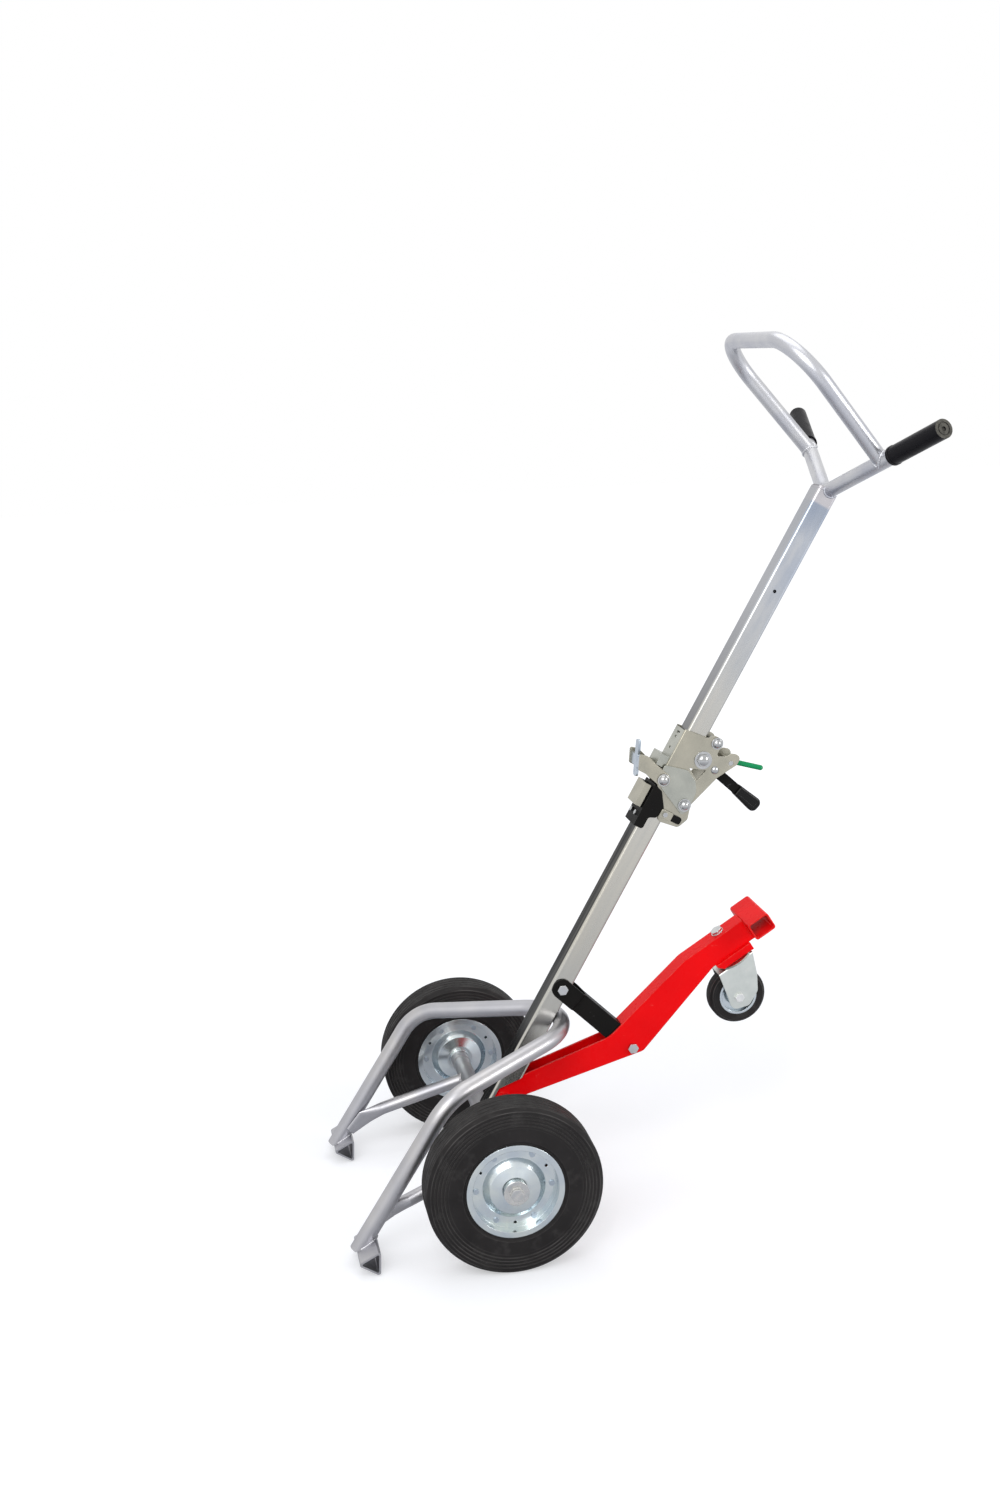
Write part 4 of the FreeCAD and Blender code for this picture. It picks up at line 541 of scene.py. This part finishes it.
def brace_weld(side, sign):
    """Round the brace's end on the axle tube."""
    foot = place(sign * brace_reach, axle_back, 0)
    across, back, up = brace_bend
    run = place(sign * across, back, up) - foot
    line = saddle(foot, run, brace_radius, way(1, 0, 0), axle_tube_radius, ripples=22)
    bead("weld_brace_" + side, line, closed=True, thick=0.0020, material=tube_zinc)


def toe_weld(side, sign):
    """Round the leg's end on the toe's front face, as far as the leg stands on it."""
    lowest, ripples = 0.008, 44
    leg = way(*leg_run)
    foot = place(sign * leg_reach, leg_foot_back, leg_foot_up)
    tip = place(sign * leg_reach, toe_tip_back, toe_tip_up)
    up_face = way(0, math.sin(toe_tilt), math.cos(toe_tilt))
    out_face = way(0, -math.cos(toe_tilt), math.sin(toe_tilt))
    rim = [foot + spoke for spoke in spokes(leg, leg_radius, ripples * ripple_points)]
    line = [spot - leg * ((spot - tip).dot(out_face) / leg.dot(out_face)) for spot in rim]
    climbs = [(spot - tip).dot(up_face) for spot in line]
    start = climbs.index(min(climbs))
    # The line starts at its lowest point, so what is left of it is one run.
    turned = range(start - len(line), start)
    kept = [line[index] for index in turned if climbs[index] > lowest]
    bead("weld_toe_" + side, kept, closed=False, thick=0.0022, material=tube_zinc)


mast_cap()
for side, sign in (("left", 1), ("right", -1)):
    for weld in (loop_weld, mast_weld, brace_weld, toe_weld):
        weld(side, sign)


# Floor, light and camera

mirror_rays = ("Is Camera Ray", "Is Glossy Ray", "Is Transmission Ray")


def any_ray(tree, *kinds):
    """One for a ray of any of these kinds, and zero for the others."""
    path = tree.nodes.new("ShaderNodeLightPath")
    seen = path.outputs[kinds[0]]
    for kind in kinds[1:]:
        larger = tree.nodes.new("ShaderNodeMath")
        larger.operation = "MAXIMUM"
        tree.links.new(seen, larger.inputs[0])
        tree.links.new(path.outputs[kind], larger.inputs[1])
        seen = larger.outputs[0]
    return seen


def floor_glow(tree):
    """A glow that grows with the distance from the middle, stronger to the camera than in mirrors."""
    fade_start, fade_end = 0.6, 3.0
    near = {"camera": 0.42, "all": 0.0}
    far = {"camera": 0.20, "all": 0.50}
    glow = tree.nodes.new("ShaderNodeEmission")
    coords = tree.nodes.new("ShaderNodeTexCoord")
    away = tree.nodes.new("ShaderNodeVectorMath")
    away.operation = "LENGTH"
    fade = tree.nodes.new("ShaderNodeMapRange")
    fade.inputs["From Min"].default_value = fade_start
    fade.inputs["From Max"].default_value = fade_end
    seen = any_ray(tree, "Is Camera Ray")
    for socket, share in (("To Min", near), ("To Max", far)):
        strength = tree.nodes.new("ShaderNodeMath")
        strength.operation = "MULTIPLY_ADD"
        tree.links.new(seen, strength.inputs[0])
        strength.inputs[1].default_value = share["camera"]
        strength.inputs[2].default_value = share["all"]
        tree.links.new(strength.outputs[0], fade.inputs[socket])
    tree.links.new(coords.outputs["Object"], away.inputs[0])
    tree.links.new(away.outputs["Value"], fade.inputs["Value"])
    tree.links.new(fade.outputs["Result"], glow.inputs["Strength"])
    return glow


def floor():
    """A pale floor that keeps the shadow and runs out into the white background."""
    reach = 14.0
    pale = (0.64, 0.65, 0.68, 1)
    mesh = bpy.data.meshes.new("floor")
    mesh.from_pydata([(-reach, -reach, 0), (reach, -reach, 0), (reach, reach, 0), (-reach, reach, 0)], [],
                     [(0, 1, 2, 3)])
    made = bpy.data.objects.new("floor", mesh)
    bpy.context.scene.collection.objects.link(made)
    material = bpy.data.materials.new("floor")
    material.use_nodes = True
    tree = material.node_tree
    tree.nodes.clear()
    out = tree.nodes.new("ShaderNodeOutputMaterial")
    plain = tree.nodes.new("ShaderNodeBsdfDiffuse")
    plain.inputs["Color"].default_value = pale
    both = tree.nodes.new("ShaderNodeAddShader")
    pick = tree.nodes.new("ShaderNodeMixShader")
    tree.links.new(plain.outputs[0], both.inputs[0])
    tree.links.new(floor_glow(tree).outputs[0], both.inputs[1])
    tree.links.new(any_ray(tree, *mirror_rays), pick.inputs["Fac"])
    tree.links.new(plain.outputs[0], pick.inputs[1])
    tree.links.new(both.outputs[0], pick.inputs[2])
    tree.links.new(pick.outputs[0], out.inputs["Surface"])
    mesh.materials.append(material)


def world():
    """White to the camera and in mirrors, and a soft sky as light."""
    sky, sky_strength = (0.97, 0.98, 1.0, 1), 0.55
    made = bpy.data.worlds.new("studio")
    made.cycles.sampling_method = "NONE"
    bpy.context.scene.world = made
    made.use_nodes = True
    tree = made.node_tree
    tree.nodes.clear()
    out = tree.nodes.new("ShaderNodeOutputWorld")
    soft = tree.nodes.new("ShaderNodeBackground")
    soft.inputs["Color"].default_value = sky
    soft.inputs["Strength"].default_value = sky_strength
    white = tree.nodes.new("ShaderNodeBackground")
    white.inputs["Color"].default_value = (1, 1, 1, 1)
    pick = tree.nodes.new("ShaderNodeMixShader")
    tree.links.new(any_ray(tree, *mirror_rays), pick.inputs["Fac"])
    tree.links.new(soft.outputs[0], pick.inputs[1])
    tree.links.new(white.outputs[0], pick.inputs[2])
    tree.links.new(pick.outputs[0], out.inputs["Surface"])


def lamp(name, eye, target, size, power):
    data = bpy.data.lights.new(name, "AREA")
    data.shape = "RECTANGLE"
    data.size, data.size_y = size
    data.energy = power
    made = bpy.data.objects.new(name, data)
    bpy.context.scene.collection.objects.link(made)
    made.location = eye
    made.rotation_euler = (Vector(target) - Vector(eye)).to_track_quat("-Z", "Y").to_euler()


def camera():
    """The camera at the photograph's viewing angle."""
    eye = Vector((2.6427, -0.6487, 1.4104))
    forward = Vector((-0.9569, 0.1756, -0.2313)).normalized()
    right = Vector((0.1888, 0.9813, -0.0361))
    right = (right - forward * right.dot(forward)).normalized()
    up = right.cross(forward)
    data = bpy.data.cameras.new("camera")
    data.sensor_fit = "VERTICAL"
    data.sensor_height = 36.0
    data.lens = 40.8
    made = bpy.data.objects.new("camera", data)
    bpy.context.scene.collection.objects.link(made)
    turn = Matrix((right, up, -forward)).transposed().to_4x4()
    made.matrix_world = Matrix.Translation(eye) @ turn
    bpy.context.scene.camera = made


floor()
world()
lamp("key", eye=(3.0, -1.8, 3.0), target=(0, 0, 0.6), size=(3.0, 3.0), power=72)
lamp("fill", eye=(2.4, 3.4, 1.8), target=(0, 0.2, 0.6), size=(1.3, 1.3), power=44)
lamp("top", eye=(-0.6, 0.2, 3.6), target=(0, 0, 0.5), size=(2.6, 2.6), power=26)
lamp("strip", eye=(2.2, -0.9, 2.8), target=(0, 0.1, 0.7), size=(0.08, 1.4), power=8)
camera()
bpy.context.scene.view_settings.view_transform = "Standard"
